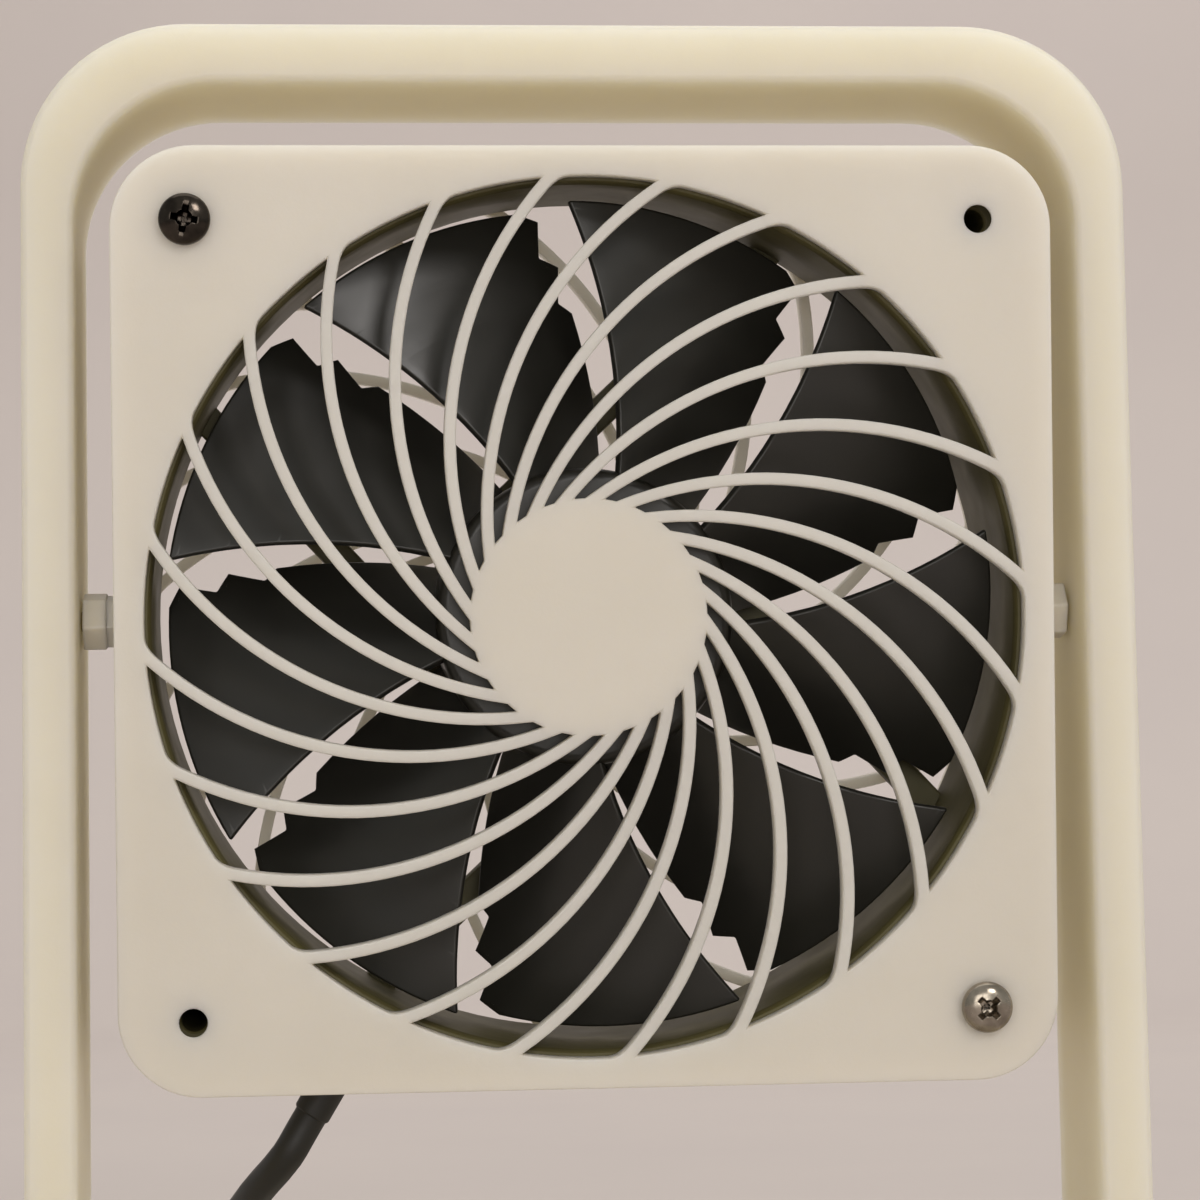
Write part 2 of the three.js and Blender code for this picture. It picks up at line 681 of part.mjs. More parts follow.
/** A closed geometry that joins equal rings of points, with a flat fan of triangles on each end. */
function lofted(rings) {
  const count = rings[0].length;
  const positions = rings.flat().flatMap((point) => [point.x, point.y, point.z]);
  const index = [];
  for (let ring = 0; ring < rings.length - 1; ring += 1) {
    for (let i = 0; i < count; i += 1) {
      const next = (i + 1) % count;
      const a = ring * count + i;
      const b = ring * count + next;
      index.push(a, a + count, b, b, a + count, b + count);
    }
  }
  const last = (rings.length - 1) * count;
  for (let i = 1; i < count / 2; i += 1) {
    const low = count - i;
    index.push(i - 1, i, low, i, low - 1, low);
    index.push(last + i - 1, last + low, last + i, last + i, last + low, last + low - 1);
  }
  const geometry = new THREE.BufferGeometry();
  geometry.setAttribute('position', new THREE.Float32BufferAttribute(positions, 3));
  geometry.setIndex(index);
  return geometry;
}

function bladeGeometry() {
  return lofted(bladeStations().map(bladeSection));
}

function impeller() {
  const hubRear = HUB_FRONT + HUB_HEIGHT;
  const capRear = HUB_FRONT + HUB_WALL;
  const inner = HUB_R - HUB_WALL;
  const hub = revolved(
    [
      [SHAFT_R + GAP, HUB_FRONT],
      [HUB_R - HUB_EDGE, HUB_FRONT],
      [HUB_R, HUB_FRONT + HUB_EDGE],
      [HUB_R, hubRear],
      [inner, hubRear],
      [inner, capRear],
      [SHAFT_R + GAP, capRear],
    ],
    HUB_STEPS,
  );
  let whole = solid(hub);
  for (let blade = 0; blade < BLADE_COUNT; blade += 1) {
    const turned = bladeGeometry().rotateY((-2 * Math.PI * blade) / BLADE_COUNT);
    whole = whole.add(solid(turned));
  }
  return namedMesh('impeller', geometryOf(whole), BLACK_PLASTIC);
}

// ---------------------------------------------------------------- motor

function tube(outerR, innerR, front, rear, steps = ROUND_STEPS) {
  return revolved(
    [
      [innerR, front],
      [outerR, front],
      [outerR, rear],
      [innerR, rear],
    ],
    steps,
  );
}

const MOTOR_FRONT = HUB_FRONT + HUB_WALL + GAP;
const MAGNET_FRONT = MOTOR_FRONT + YOKE_WALL + GAP;
const MAGNET_REAR = MAGNET_FRONT + MOTOR_LENGTH;

/** The pressed steel cup that lines the hub and carries the shaft. */
function motorYoke() {
  const inner = YOKE_R - YOKE_WALL;
  const cup = revolved([
    [SHAFT_R + GAP, MOTOR_FRONT],
    [YOKE_R, MOTOR_FRONT],
    [YOKE_R, MAGNET_REAR],
    [inner, MAGNET_REAR],
    [inner, MOTOR_FRONT + YOKE_WALL],
    [SHAFT_R + GAP, MOTOR_FRONT + YOKE_WALL],
  ]);
  return namedMesh('motor_yoke', cup, STEEL);
}

function ringMagnet() {
  const ring = tube(MAGNET_R, MAGNET_R - MAGNET_WALL, MAGNET_FRONT, MAGNET_REAR);
  return namedMesh('ring_magnet', ring, MAGNET_GREY);
}

function motorShaft() {
  const shaft = revolved(
    [
      [0, HUB_FRONT + GAP],
      [SHAFT_R, HUB_FRONT + GAP],
      [SHAFT_R, CLIP_Y - CLIP_THICKNESS - GAP],
      [SHAFT_NECK_R, CLIP_Y - CLIP_THICKNESS - GAP],
      [SHAFT_NECK_R, CLIP_Y + GAP],
      [SHAFT_R, CLIP_Y + GAP],
      [SHAFT_R, CUP_FLOOR_Y - GAP],
      [0, CUP_FLOOR_Y - GAP],
    ],
    SMALL_STEPS,
  );
  return namedMesh('motor_shaft', shaft, STEEL);
}

function shaftClip() {
  const front = CLIP_Y - CLIP_THICKNESS;
  const clip = tube(SHAFT_R + CLIP_RIM, SHAFT_NECK_R + GAP, front, CLIP_Y, SMALL_STEPS);
  return namedMesh('shaft_clip', clip, STEEL);
}

function bearingSleeve() {
  const rear = CLIP_Y - CLIP_THICKNESS - GAP;
  return namedMesh('bearing_sleeve', tube(SLEEVE_R, SLEEVE_BORE_R, BEARING_FRONT + GAP, rear), BRONZE);
}

const STATOR_MIDDLE = MAGNET_FRONT + MOTOR_LENGTH / 2;

/** Outline of the laminated core: a ring with a neck and a curved shoe for each pole. */
function statorShape() {
  const shoeR = STATOR_R - STATOR_SHOE;
  const neckAtCore = THREE.MathUtils.radToDeg(Math.asin(STATOR_NECK / 2 / STATOR_CORE_R));
  const neckAtShoe = THREE.MathUtils.radToDeg(Math.asin(STATOR_NECK / 2 / shoeR));
  const pole = 360 / STATOR_POLES;
  const shoeHalf = pole / 2 - STATOR_SLOT_HALF_ANGLE;
  const points = [];
  for (let index = 0; index < STATOR_POLES; index += 1) {
    const middle = pole * index + pole / 2;
    points.push(polar(STATOR_CORE_R, middle - neckAtCore));
    points.push(polar(shoeR, middle - neckAtShoe));
    points.push(polar(shoeR, middle - shoeHalf));
    for (let i = 0; i <= SHOE_STEPS; i += 1) {
      points.push(polar(STATOR_R, middle + THREE.MathUtils.lerp(-shoeHalf, shoeHalf, i / SHOE_STEPS)));
    }
    points.push(polar(shoeR, middle + shoeHalf));
    points.push(polar(shoeR, middle + neckAtShoe));
    points.push(polar(STATOR_CORE_R, middle + neckAtCore));
    const next = middle + pole - neckAtCore;
    points.push(polar(STATOR_CORE_R, THREE.MathUtils.lerp(middle + neckAtCore, next, 0.5)));
  }
  const shape = new THREE.Shape(points);
  shape.holes.push(circlePath(BEARING_TUBE_R + GAP, ROUND_STEPS));
  return shape;
}

function statorCore() {
  const half = STATOR_LENGTH / 2;
  const core = alongY(statorShape(), STATOR_MIDDLE - half, STATOR_MIDDLE + half);
  return namedMesh('stator_core', core, STEEL);
}

/** Copper wound round one pole's neck: a rounded frame as thick as the winding. */
function statorWinding(index) {
  const bore = STATOR_NECK / 2 + GAP;
  const boreDepth = STATOR_LENGTH / 2 + GAP;
  const shape = roundedRectangle(bore + WINDING_WALL, boreDepth + WINDING_WALL, WINDING_WALL);
  shape.holes.push(roundedRectangle(bore, boreDepth, GAP));
  const winding = new THREE.ExtrudeGeometry(shape, {
    depth: WINDING_LENGTH,
    bevelEnabled: false,
    curveSegments: 1,
  });
  winding.translate(0, 0, STATOR_CORE_R + GAP);
  const pole = 360 / STATOR_POLES;
  winding.rotateY(radians(90 - pole * index - pole / 2)).translate(0, STATOR_MIDDLE, 0);
  return namedMesh(`stator_winding_${index + 1}`, winding, COPPER);
}

function motorBoard() {
  const board = tube(MOTOR_CUP_R - MOTOR_CUP_FLOOR - GAP, BEARING_TUBE_R + GAP,
    CUP_FLOOR_Y - GAP - BOARD_THICKNESS, CUP_FLOOR_Y - GAP);
  return namedMesh('motor_board', board, BOARD_GREEN);
}

// ---------------------------------------------------------------- tilt pivots

/** Hex bushing: hexagon outside the shell, round neck in the wall, thin flange inside. */
function pivotBushing(name, side) {
  const hexInner = SHELL_HALF + GAP;
  const hexOuter = LEG_INNER_X - GAP;
  const wallInner = SHELL_HALF - SHELL_WALL - GAP;
  const cornerR = HEX_ACROSS_FLATS / 2 / Math.cos(Math.PI / 6);
  const hexagon = barAlongY(cornerR, hexInner, hexOuter, 6).rotateY(radians(HEX_TURN));
  const chamfer = revolved(
    [
      [0, hexInner - OVERSHOOT],
      [cornerR + GAP, hexInner - OVERSHOOT],
      [cornerR + GAP, hexOuter - HEX_CHAMFER],
      [HEX_ACROSS_FLATS / 2, hexOuter],
      [0, hexOuter],
    ],
    BORE_STEPS,
  );
  const neck = barAlongY(PIVOT_NECK_R, wallInner - PIVOT_FLANGE / 2, hexInner + SIDE_PLAY / 4, SMALL_STEPS);
  const flange = barAlongY(PIVOT_FLANGE_R, wallInner - PIVOT_FLANGE, wallInner, SMALL_STEPS);
  const body = solid(hexagon).intersect(solid(chamfer)).add(solid(neck)).add(solid(flange));
  const bore = barAlongY(SCREW_HOLE_R, wallInner + GAP, hexOuter + OVERSHOOT, SMALL_STEPS);
  const bushing = geometryOf(cutFrom(body, [bore])).rotateZ(-side * Math.PI / 2);
  return namedMesh(name, bushing, CREAM_PLASTIC);
}

/** Pivot screw, from its counterbore in the leg's outer face into the hex bushing. */
function pivotScrew(name, side) {
  const seat = LEG_OUTER_X - PIVOT_HEAD_HEIGHT - GAP;
  const tip = SHELL_HALF - SHELL_WALL + 2 * GAP;
  const screw = panHeadScrew(PIVOT_HEAD_R, PIVOT_HEAD_HEIGHT, SCREW_SHANK_R, seat - tip, -seat);
  screw.rotateZ(side * Math.PI / 2);
  return namedMesh(name, screw, NICKEL);
}

// ---------------------------------------------------------------- arch stand

/** Outline of the arch in X and Z: outer edge up, over and down, and back along the inner edge. */
function archShape() {
  const shape = new THREE.Shape();
  const innerTop = ARCH_TOP - ARCH_BAR;
  const outerCentre = LEG_OUTER_X - ARCH_OUTER_R;
  const innerCentre = LEG_INNER_X - ARCH_INNER_R;
  shape.moveTo(LEG_OUTER_X, LEG_FOOT);
  shape.lineTo(LEG_OUTER_X, ARCH_TOP - ARCH_OUTER_R);
  shape.absarc(outerCentre, ARCH_TOP - ARCH_OUTER_R, ARCH_OUTER_R, 0, Math.PI / 2);
  shape.lineTo(-outerCentre, ARCH_TOP);
  shape.absarc(-outerCentre, ARCH_TOP - ARCH_OUTER_R, ARCH_OUTER_R, Math.PI / 2, Math.PI);
  shape.lineTo(-LEG_OUTER_X, LEG_FOOT);
  shape.lineTo(-LEG_INNER_X, LEG_FOOT);
  shape.lineTo(-LEG_INNER_X, innerTop - ARCH_INNER_R);
  shape.absarc(-innerCentre, innerTop - ARCH_INNER_R, ARCH_INNER_R, Math.PI, Math.PI / 2, true);
  shape.lineTo(innerCentre, innerTop);
  shape.absarc(innerCentre, innerTop - ARCH_INNER_R, ARCH_INNER_R, Math.PI / 2, 0, true);
  shape.lineTo(LEG_INNER_X, LEG_FOOT);
  return shape;
}

/** The four leg screw places, as [x, y]. */
function legScrewPlaces() {
  const x = LEG_INNER_X + LEG_WIDTH / 2;
  const y = LEG_SCREW_SPACING / 2;
  return [
    [-x, -y],
    [-x, y],
    [x, -y],
    [x, y],
  ];
}

const LEG_SCREW_SEAT = COVER_TOP + GAP + LEG_SCREW_HEAD_HEIGHT;

function archStand() {
  const half = ARCH_DEPTH / 2;
  const bevel = {
    bevelEnabled: true,
    bevelThickness: ARCH_EDGE_ROUND,
    bevelSize: ARCH_EDGE_ROUND,
    bevelOffset: -ARCH_EDGE_ROUND,
    bevelSegments: EDGE_STEPS,
    curveSegments: BEND_STEPS,
  };
  const arch = solid(alongY(archShape(), -half + ARCH_EDGE_ROUND, half - ARCH_EDGE_ROUND, bevel));
  const outside = LEG_OUTER_X + OVERSHOOT;
  const counterbore = LEG_OUTER_X - PIVOT_HEAD_HEIGHT - 2 * GAP;
  const boreR = PIVOT_HEAD_R + GAP;
  const tapped = LEG_SCREW_SEAT + LEG_SCREW_LENGTH + GAP;
  const cutters = [
    barAlongX(SCREW_HOLE_R, -outside, outside, SMALL_STEPS).translate(0, 0, TILT_AXIS_HEIGHT),
    barAlongX(boreR, counterbore, outside, BORE_STEPS).translate(0, 0, TILT_AXIS_HEIGHT),
    barAlongX(boreR, -outside, -counterbore, BORE_STEPS).translate(0, 0, TILT_AXIS_HEIGHT),
    ...legScrewPlaces().map(([x, y]) =>
      barAlongZ(SCREW_HOLE_R, LEG_FOOT - OVERSHOOT, tapped, SMALL_STEPS).translate(x, y, 0),
    ),
  ];
  return namedMesh('stand_arch', geometryOf(cutFrom(arch, cutters)), CREAM_PLASTIC);
}

// ---------------------------------------------------------------- base

function baseShell() {
  const halfW = BASE_WIDTH / 2;
  const halfD = BASE_DEPTH / 2;
  const bevel = {
    bevelEnabled: true,
    bevelThickness: BASE_EDGE_ROUND,
    bevelSize: BASE_EDGE_ROUND,
    bevelOffset: -BASE_EDGE_ROUND,
    bevelSegments: EDGE_STEPS,
    curveSegments: BEND_STEPS,
  };
  const outline = roundedRectangle(halfW, halfD, BASE_CORNER_R);
  const body = alongZ(outline, FOOT_PROUD - BASE_EDGE_ROUND, BASE_TOP - BASE_EDGE_ROUND, bevel);
  const under = block(2 * BASE_WIDTH, 2 * BASE_DEPTH, 2 * BASE_HEIGHT, 0, 0, FOOT_PROUD - BASE_HEIGHT);
  const inner = roundedRectangle(halfW - BASE_WALL, halfD - BASE_WALL, BASE_CORNER_R - BASE_WALL);
  const cavity = alongZ(inner, FOOT_PROUD - OVERSHOOT, BASE_TOP - BASE_WALL);
  const socketX = LEG_INNER_X + LEG_WIDTH / 2;
  const towerDepth = ARCH_DEPTH + 2 * (GAP + LEG_SOCKET_WALL);
  const towerInner = LEG_INNER_X - GAP - LEG_SOCKET_WALL;
  const towerOuter = halfW - BASE_WALL / 2;
  const towerBottom = COVER_TOP + GAP;
  const towerHeight = BASE_TOP - BASE_WALL / 2 - towerBottom;
  let shell = cutFrom(solid(body), [under, cavity]);
  for (const side of [-1, 1]) {
    const middle = (side * (towerInner + towerOuter)) / 2;
    const tower = block(towerOuter - towerInner, towerDepth, towerHeight, middle, 0,
      towerBottom + towerHeight / 2);
    const socket = block(LEG_WIDTH + 2 * GAP, ARCH_DEPTH + 2 * GAP, 2 * LEG_SOCKET_DEPTH,
      side * socketX, 0, BASE_TOP);
    shell = cutFrom(shell.add(solid(tower)), [socket]);
  }
  const holes = legScrewPlaces().flatMap(([x, y]) => [
    barAlongZ(SCREW_HOLE_R, FOOT_PROUD, BASE_TOP, SMALL_STEPS).translate(x, y, 0),
    barAlongZ(LEG_SCREW_HEAD_R + GAP, FOOT_PROUD, LEG_SCREW_SEAT + GAP, SMALL_STEPS).translate(x, y, 0),
  ]);
  return namedMesh('base_shell', geometryOf(cutFrom(shell, holes)), CREAM_PLASTIC);
}

function footPlaces() {
  const x = BASE_WIDTH / 2 - FOOT_INSET;
  const y = BASE_DEPTH / 2 - FOOT_INSET;
  return [
    [-x, -y],
    [x, -y],
    [x, y],
    [-x, y],
  ];
}

function baseCover() {
  const inset = BASE_WALL + GAP;
  const outline = roundedRectangle(BASE_WIDTH / 2 - inset, BASE_DEPTH / 2 - inset, BASE_CORNER_R - inset);
  const recesses = footPlaces().map(([x, y]) =>
    barAlongZ(FOOT_R + GAP, 0, FOOT_PROUD + FOOT_RECESS, SMALL_STEPS).translate(x, y, 0),
  );
  const cover = cutFrom(solid(alongZ(outline, FOOT_PROUD, COVER_TOP)), recesses);
  return namedMesh('base_cover', geometryOf(cover), CREAM_PLASTIC);
}

function ballastPlate() {
  const outline = roundedRectangle(BALLAST_WIDTH / 2, BALLAST_DEPTH / 2, BALLAST_CORNER_R);
  const bottom = COVER_TOP + GAP;
  return namedMesh('ballast_plate', alongZ(outline, bottom, bottom + BALLAST_THICKNESS), STEEL);
}

function rubberFeet() {
  return footPlaces().map(([x, y], index) => {
    const top = FOOT_PROUD + FOOT_RECESS - GAP;
    const foot = revolved(
      [
        [0, 0],
        [FOOT_R - FOOT_EDGE, 0],
        [FOOT_R, FOOT_EDGE],
        [FOOT_R, top],
        [0, top],
      ],
      SMALL_STEPS,
    ).rotateX(Math.PI / 2);
    return namedMesh(`rubber_foot_${index + 1}`, foot.translate(x, y, 0), BLACK_RUBBER);
  });
}

function legScrews() {
  return legScrewPlaces().map(([x, y], index) => {
    const screw = panHeadScrew(LEG_SCREW_HEAD_R, LEG_SCREW_HEAD_HEIGHT, SCREW_SHANK_R,
      LEG_SCREW_LENGTH, LEG_SCREW_SEAT);
    screw.rotateX(Math.PI / 2);
    return namedMesh(`leg_screw_${index + 1}`, screw.translate(x, y, 0), NICKEL);
  });
}

// ---------------------------------------------------------------- cord

/** Gland in the rear shell's lower wall: flange outside, body through the wall, short boot. */
function cordGland() {
  const boreR = CORD_R / 2;
  const gland = revolved(
    [
      [boreR, SHELL_WALL + GLAND_INSIDE],
      [GLAND_BODY_R, SHELL_WALL + GLAND_INSIDE],
      [GLAND_BODY_R, -GLAND_SEAT],
      [GLAND_R, -GLAND_SEAT],
      [GLAND_R, -GLAND_SEAT - GLAND_FLANGE],
      [CORD_R + GLAND_BOOT_WALL, -GLAND_SEAT - GLAND_FLANGE],
      [CORD_R + GLAND_TIP_WALL, -GLAND_END],
      [boreR, -GLAND_END],
    ],
    SMALL_STEPS,
  );
  return namedMesh('cord_gland', toCordExit(gland), BLACK_RUBBER);
}

/** Where the cord leaves the gland, in the stand's frame, and the way it points there. */
function cordStart() {
  const tilt = radians(HEAD_REST_TILT);
  const out = new THREE.Vector3(0, 0, -1).applyAxisAngle(new THREE.Vector3(0, 1, 0),
    radians(CORD_EXIT_SLANT));
  const start = new THREE.Vector3(CORD_EXIT_X, CORD_EXIT_Y, -SHELL_HALF);
  start.addScaledVector(out, GLAND_END + GAP);
  const axis = new THREE.Vector3(1, 0, 0);
  start.applyAxisAngle(axis, tilt).add(new THREE.Vector3(0, 0, TILT_AXIS_HEIGHT));
  return { start, out: out.applyAxisAngle(axis, tilt) };
}

function cordAlong(curve, steps) {
  const section = new THREE.Shape(circlePath(CORD_R, CORD_SIDES).getPoints());
  return new THREE.ExtrudeGeometry(section, { steps, bevelEnabled: false, extrudePath: curve });
}

/** Centre of the coiled cord at a number of turns from its start. */
function coilPoint(turns) {
  const innerR = COIL_MIDDLE_R - (COIL_LOWER_TURNS / 2) * COIL_PITCH;
  const climbEnd = COIL_LOWER_TURNS + COIL_CLIMB_TURNS;
  let radius = innerR;
  let height = COIL_HEIGHT;
  if (turns < COIL_LOWER_TURNS) {
    radius = innerR + (COIL_LOWER_TURNS - turns) * COIL_PITCH;
  } else if (turns < climbEnd) {
    const share = (turns - COIL_LOWER_TURNS) / COIL_CLIMB_TURNS;
    height = COIL_HEIGHT + COIL_PITCH * (0.5 - 0.5 * Math.cos(Math.PI * share));
    radius = innerR - COIL_TURN_IN * Math.sin(Math.PI * share);
  } else {
    radius = innerR + (turns - climbEnd) * COIL_PITCH;
    height = COIL_HEIGHT + COIL_PITCH;
  }
  const angle = radians(COIL_START_ANGLE - 360 * turns);
  return new THREE.Vector3(
    COIL_CENTRE.x + radius * Math.cos(angle),
    COIL_CENTRE.y + radius * Math.sin(angle),
    height,
  );
}

const COIL_TURNS = COIL_LOWER_TURNS + COIL_CLIMB_TURNS + COIL_UPPER_TURNS;

/** The coil's centre line: a straight lead-in, every turn, and a straight lead-out. */
function coilLine() {
  const steps = Math.round(COIL_TURNS * COIL_STEPS_PER_TURN);
  const points = [];
  for (let i = 0; i <= steps; i += 1) {
    points.push(coilPoint((COIL_TURNS * i) / steps));
  }
  const lead = 2 * CORD_R;
  const first = points[0].clone().sub(coilPoint(0.01)).normalize();
  const last = points[steps].clone().sub(coilPoint(COIL_TURNS - 0.01)).normalize();
  points.unshift(points[0].clone().addScaledVector(first, lead));
  points.push(points[points.length - 1].clone().addScaledVector(last, lead));
  return points;
}

/** Sweeps a round section of a few sides along a line of points and closes both ends. */
function sweptAlong(points, radius, sides) {
  const up = new THREE.Vector3(0, 0, 1);
  const rings = points.map((point, i) => {
    const before = points[Math.max(0, i - 1)];
    const after = points[Math.min(points.length - 1, i + 1)];
    const forward = after.clone().sub(before).normalize();
    const side = forward.clone().cross(up).normalize();
    const lift = side.clone().cross(forward).normalize();
    return Array.from({ length: sides }, (_, k) => {
      const angle = (2 * Math.PI * (k + 0.5)) / sides;
      return point
        .clone()
        .addScaledVector(side, radius * Math.cos(angle))
        .addScaledVector(lift, radius * Math.sin(angle));
    });
  });
  return lofted(rings);
}

/** The least gap between turns that lie beside or on each other, measured on the centre line. */
function leastCoilGap(points) {
  const apart = Math.round(COIL_STEPS_PER_TURN / 2);
  let least = Infinity;
  for (let i = 0; i < points.length; i += 1) {
    for (let j = i + apart; j < points.length; j += 1) {
      least = Math.min(least, points[i].distanceTo(points[j]) - 2 * CORD_R);
    }
  }
  return least;
}

function cordCoil() {
  const line = coilLine();
  console.log(`cord_coil: least gap between turns ${leastCoilGap(line).toFixed(2)} mm`);
  return namedMesh('cord_coil', sweptAlong(line, CORD_R, COIL_SIDES), BLACK_RUBBER);
}

/** The free stretch: out of the gland, over the back of the base and along the table to the coil. */
function powerCord() {
  const { start, out } = cordStart();
  const line = coilLine();
  const toCoil = line[1].clone().sub(line[0]).normalize();
  const end = line[0].clone().addScaledVector(toCoil, -GAP);
  const curve = new THREE.CatmullRomCurve3([
    start,
    start.clone().addScaledVector(out, 3),
    start.clone().addScaledVector(out, 7),
    new THREE.Vector3(-45.5, 17.5, 33),
    new THREE.Vector3(-49.5, 28, 26.5),
    new THREE.Vector3(-51.5, 39, 20.8),
    new THREE.Vector3(-51.5, 49, 14.8),
    new THREE.Vector3(-50, 58.5, 8.2),
    new THREE.Vector3(-47.5, 68, 4.4),
    new THREE.Vector3(-44.8, 78, COIL_HEIGHT),
    end.clone().addScaledVector(toCoil, -4),
    end,
  ]);
  return namedMesh('power_cord', cordAlong(curve, CORD_STEPS), BLACK_RUBBER);
}

/** Where the cord enters the plug body, which points along +X from there. */
function plugStart() {
  const place = COIL_CENTRE.clone().add(PLUG_FROM_COIL);
  return new THREE.Vector3(place.x, place.y, PLUG_BODY.z / 2 + GAP);
}

/** The last of the cord: off the top turn and down to the plug beside the coil. */
function cordTail() {
  const line = coilLine();
  const last = line[line.length - 1];
  const outward = last.clone().sub(line[line.length - 2]).normalize();
  const start = last.clone().addScaledVector(outward, GAP);
  const end = plugStart().add(new THREE.Vector3(-GAP, 0, 0));
  const curve = new THREE.CatmullRomCurve3([
    start,
    start.clone().addScaledVector(outward, 3),
    new THREE.Vector3().lerpVectors(start, end, 0.55),
    end.clone().add(new THREE.Vector3(-4, 0, 0)),
    end,
  ]);
  return namedMesh('cord_tail', cordAlong(curve, TAIL_STEPS), BLACK_RUBBER);
}

/** Moves a plug piece drawn along -Y from the origin to its place beside the coil. */
function toPlug(geometry) {
  const start = plugStart();
  return geometry.rotateZ(Math.PI / 2).translate(start.x, start.y, start.z);
}

function plugBody() {
  const outline = roundedRectangle(PLUG_BODY.x / 2, PLUG_BODY.z / 2, PLUG_CORNER_R);
  const body = alongY(outline, -PLUG_BODY.y, 0);
  return namedMesh('plug_body', toPlug(body), BLACK_RUBBER);
}

/** Pressed metal shell of the plug, open at its mouth. */
function plugShell() {
  const rear = -PLUG_BODY.y - GAP;
  const front = rear - PLUG_SHELL.y;
  const halfW = PLUG_SHELL.x / 2;
  const halfH = PLUG_SHELL.z / 2;
  const square = { curveSegments: 1 };
  const outer = alongY(roundedRectangle(halfW, halfH, PLUG_SHELL_CORNER_R), front, rear, square);
  const wall = PLUG_SHELL_WALL;
  const hollow = roundedRectangle(halfW - wall, halfH - wall, PLUG_SHELL_CORNER_R - wall);
  const inner = alongY(hollow, front - OVERSHOOT, rear - wall, square);
  return namedMesh('plug_shell', toPlug(geometryOf(cutFrom(solid(outer), [inner]))), NICKEL);
}

/** Hook-and-loop tie round the turns, on the far side of the coil. */
function coilTie() {
  const innerR = COIL_MIDDLE_R - (COIL_LOWER_TURNS / 2) * COIL_PITCH - CORD_R - GAP;
  const outerR = COIL_MIDDLE_R + (COIL_LOWER_TURNS / 2) * COIL_PITCH + CORD_R + GAP;
  const low = COIL_HEIGHT - CORD_R - GAP;
  const high = COIL_HEIGHT + COIL_PITCH + CORD_R + GAP;
  const halfW = (outerR - innerR) / 2 + TIE_SLACK;
  const halfH = (high - low) / 2;
  const wrap = TIE_THICKNESS;
  const shape = roundedRectangle(halfW + wrap, halfH + wrap, TIE_CORNER_R + wrap);
  shape.holes.push(roundedRectangle(halfW, halfH, TIE_CORNER_R));
  const tie = alongY(shape, -TIE_WIDTH / 2, TIE_WIDTH / 2, { curveSegments: 2 });
  tie.translate((innerR + outerR) / 2, 0, (low + high) / 2);
  tie.rotateZ(radians(TIE_ANGLE)).translate(COIL_CENTRE.x, COIL_CENTRE.y, 0);
  return namedMesh('coil_tie', tie, BLACK_RUBBER);
}

// ---------------------------------------------------------------- assembly

function rotor() {
  const group = new THREE.Group();
  group.add(impeller(), motorYoke(), ringMagnet(), motorShaft(), shaftClip());
  return group;
}

function motorStator() {
  const group = new THREE.Group();
  group.add(bearingSleeve(), statorCore(), motorBoard());
  for (let index = 0; index < STATOR_POLES; index += 1) {
    group.add(statorWinding(index));
  }
  return group;
}

/** Everything that tilts, built round the tilt axis and leaned to its rest angle. */
function tiltingHead() {
  const head = new THREE.Group();
  head.add(frontShell(), rearShell(), fanFrame(), ...coverScrews());
  head.add(pivotBushing('pivot_bushing_left', -1), pivotBushing('pivot_bushing_right', 1));
  head.add(pivotScrew('pivot_screw_left', -1), pivotScrew('pivot_screw_right', 1));
  head.add(cordGland(), motorStator(), rotor());
  head.position.z = TILT_AXIS_HEIGHT;
  head.rotation.x = radians(HEAD_REST_TILT);
  return head;
}

function stand() {
  const group = new THREE.Group();
  group.add(archStand(), baseShell(), baseCover(), ballastPlate(), ...rubberFeet(), ...legScrews());
  return group;
}

function cord() {
  const group = new THREE.Group();
  group.add(powerCord(), cordCoil(), cordTail(), plugBody(), plugShell(), coilTie());
  return group;
}

const airCirculator = new THREE.Group();
airCirculator.add(stand(), tiltingHead(), cord());

export default airCirculator;
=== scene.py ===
"""Desk air circulator: the dressed model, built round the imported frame.

A square fan head with a spiral grille tilts between the legs of an arch stand. Sizes in the classes are in
millimetres, in the part's own frame: +Z up, the photographed grille faces -Y.
"""

import logging
import math
from dataclasses import dataclass, field, replace
from enum import Enum
from typing import Any, Sequence

import bmesh
import bpy
from bmesh.types import BMesh
from mathutils import Matrix, Vector


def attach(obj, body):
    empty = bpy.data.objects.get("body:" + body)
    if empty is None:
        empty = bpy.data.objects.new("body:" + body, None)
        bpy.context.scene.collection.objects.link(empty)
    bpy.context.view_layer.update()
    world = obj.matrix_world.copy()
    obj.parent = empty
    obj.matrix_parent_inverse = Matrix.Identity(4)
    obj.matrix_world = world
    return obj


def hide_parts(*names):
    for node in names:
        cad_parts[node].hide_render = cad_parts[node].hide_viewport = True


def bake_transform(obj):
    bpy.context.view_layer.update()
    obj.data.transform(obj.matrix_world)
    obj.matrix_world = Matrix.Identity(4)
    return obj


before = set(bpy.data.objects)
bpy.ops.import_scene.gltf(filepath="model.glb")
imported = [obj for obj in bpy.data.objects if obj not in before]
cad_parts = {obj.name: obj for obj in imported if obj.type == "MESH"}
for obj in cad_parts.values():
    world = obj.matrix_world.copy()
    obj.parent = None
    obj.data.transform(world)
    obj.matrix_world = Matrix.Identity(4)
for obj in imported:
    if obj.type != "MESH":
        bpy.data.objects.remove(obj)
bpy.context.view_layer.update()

LOG = logging.getLogger("air_circulator")

MM = 0.001
TILT_AXIS_HEIGHT = 112.0
HEAD_REST_TILT = 4.7
GAP = 0.3
PLASTIC_IOR = 1.5

Point = tuple[float, float]
Tree = bpy.types.NodeTree
Socket = bpy.types.NodeSocket
Material = bpy.types.Material
Piece = bpy.types.Object

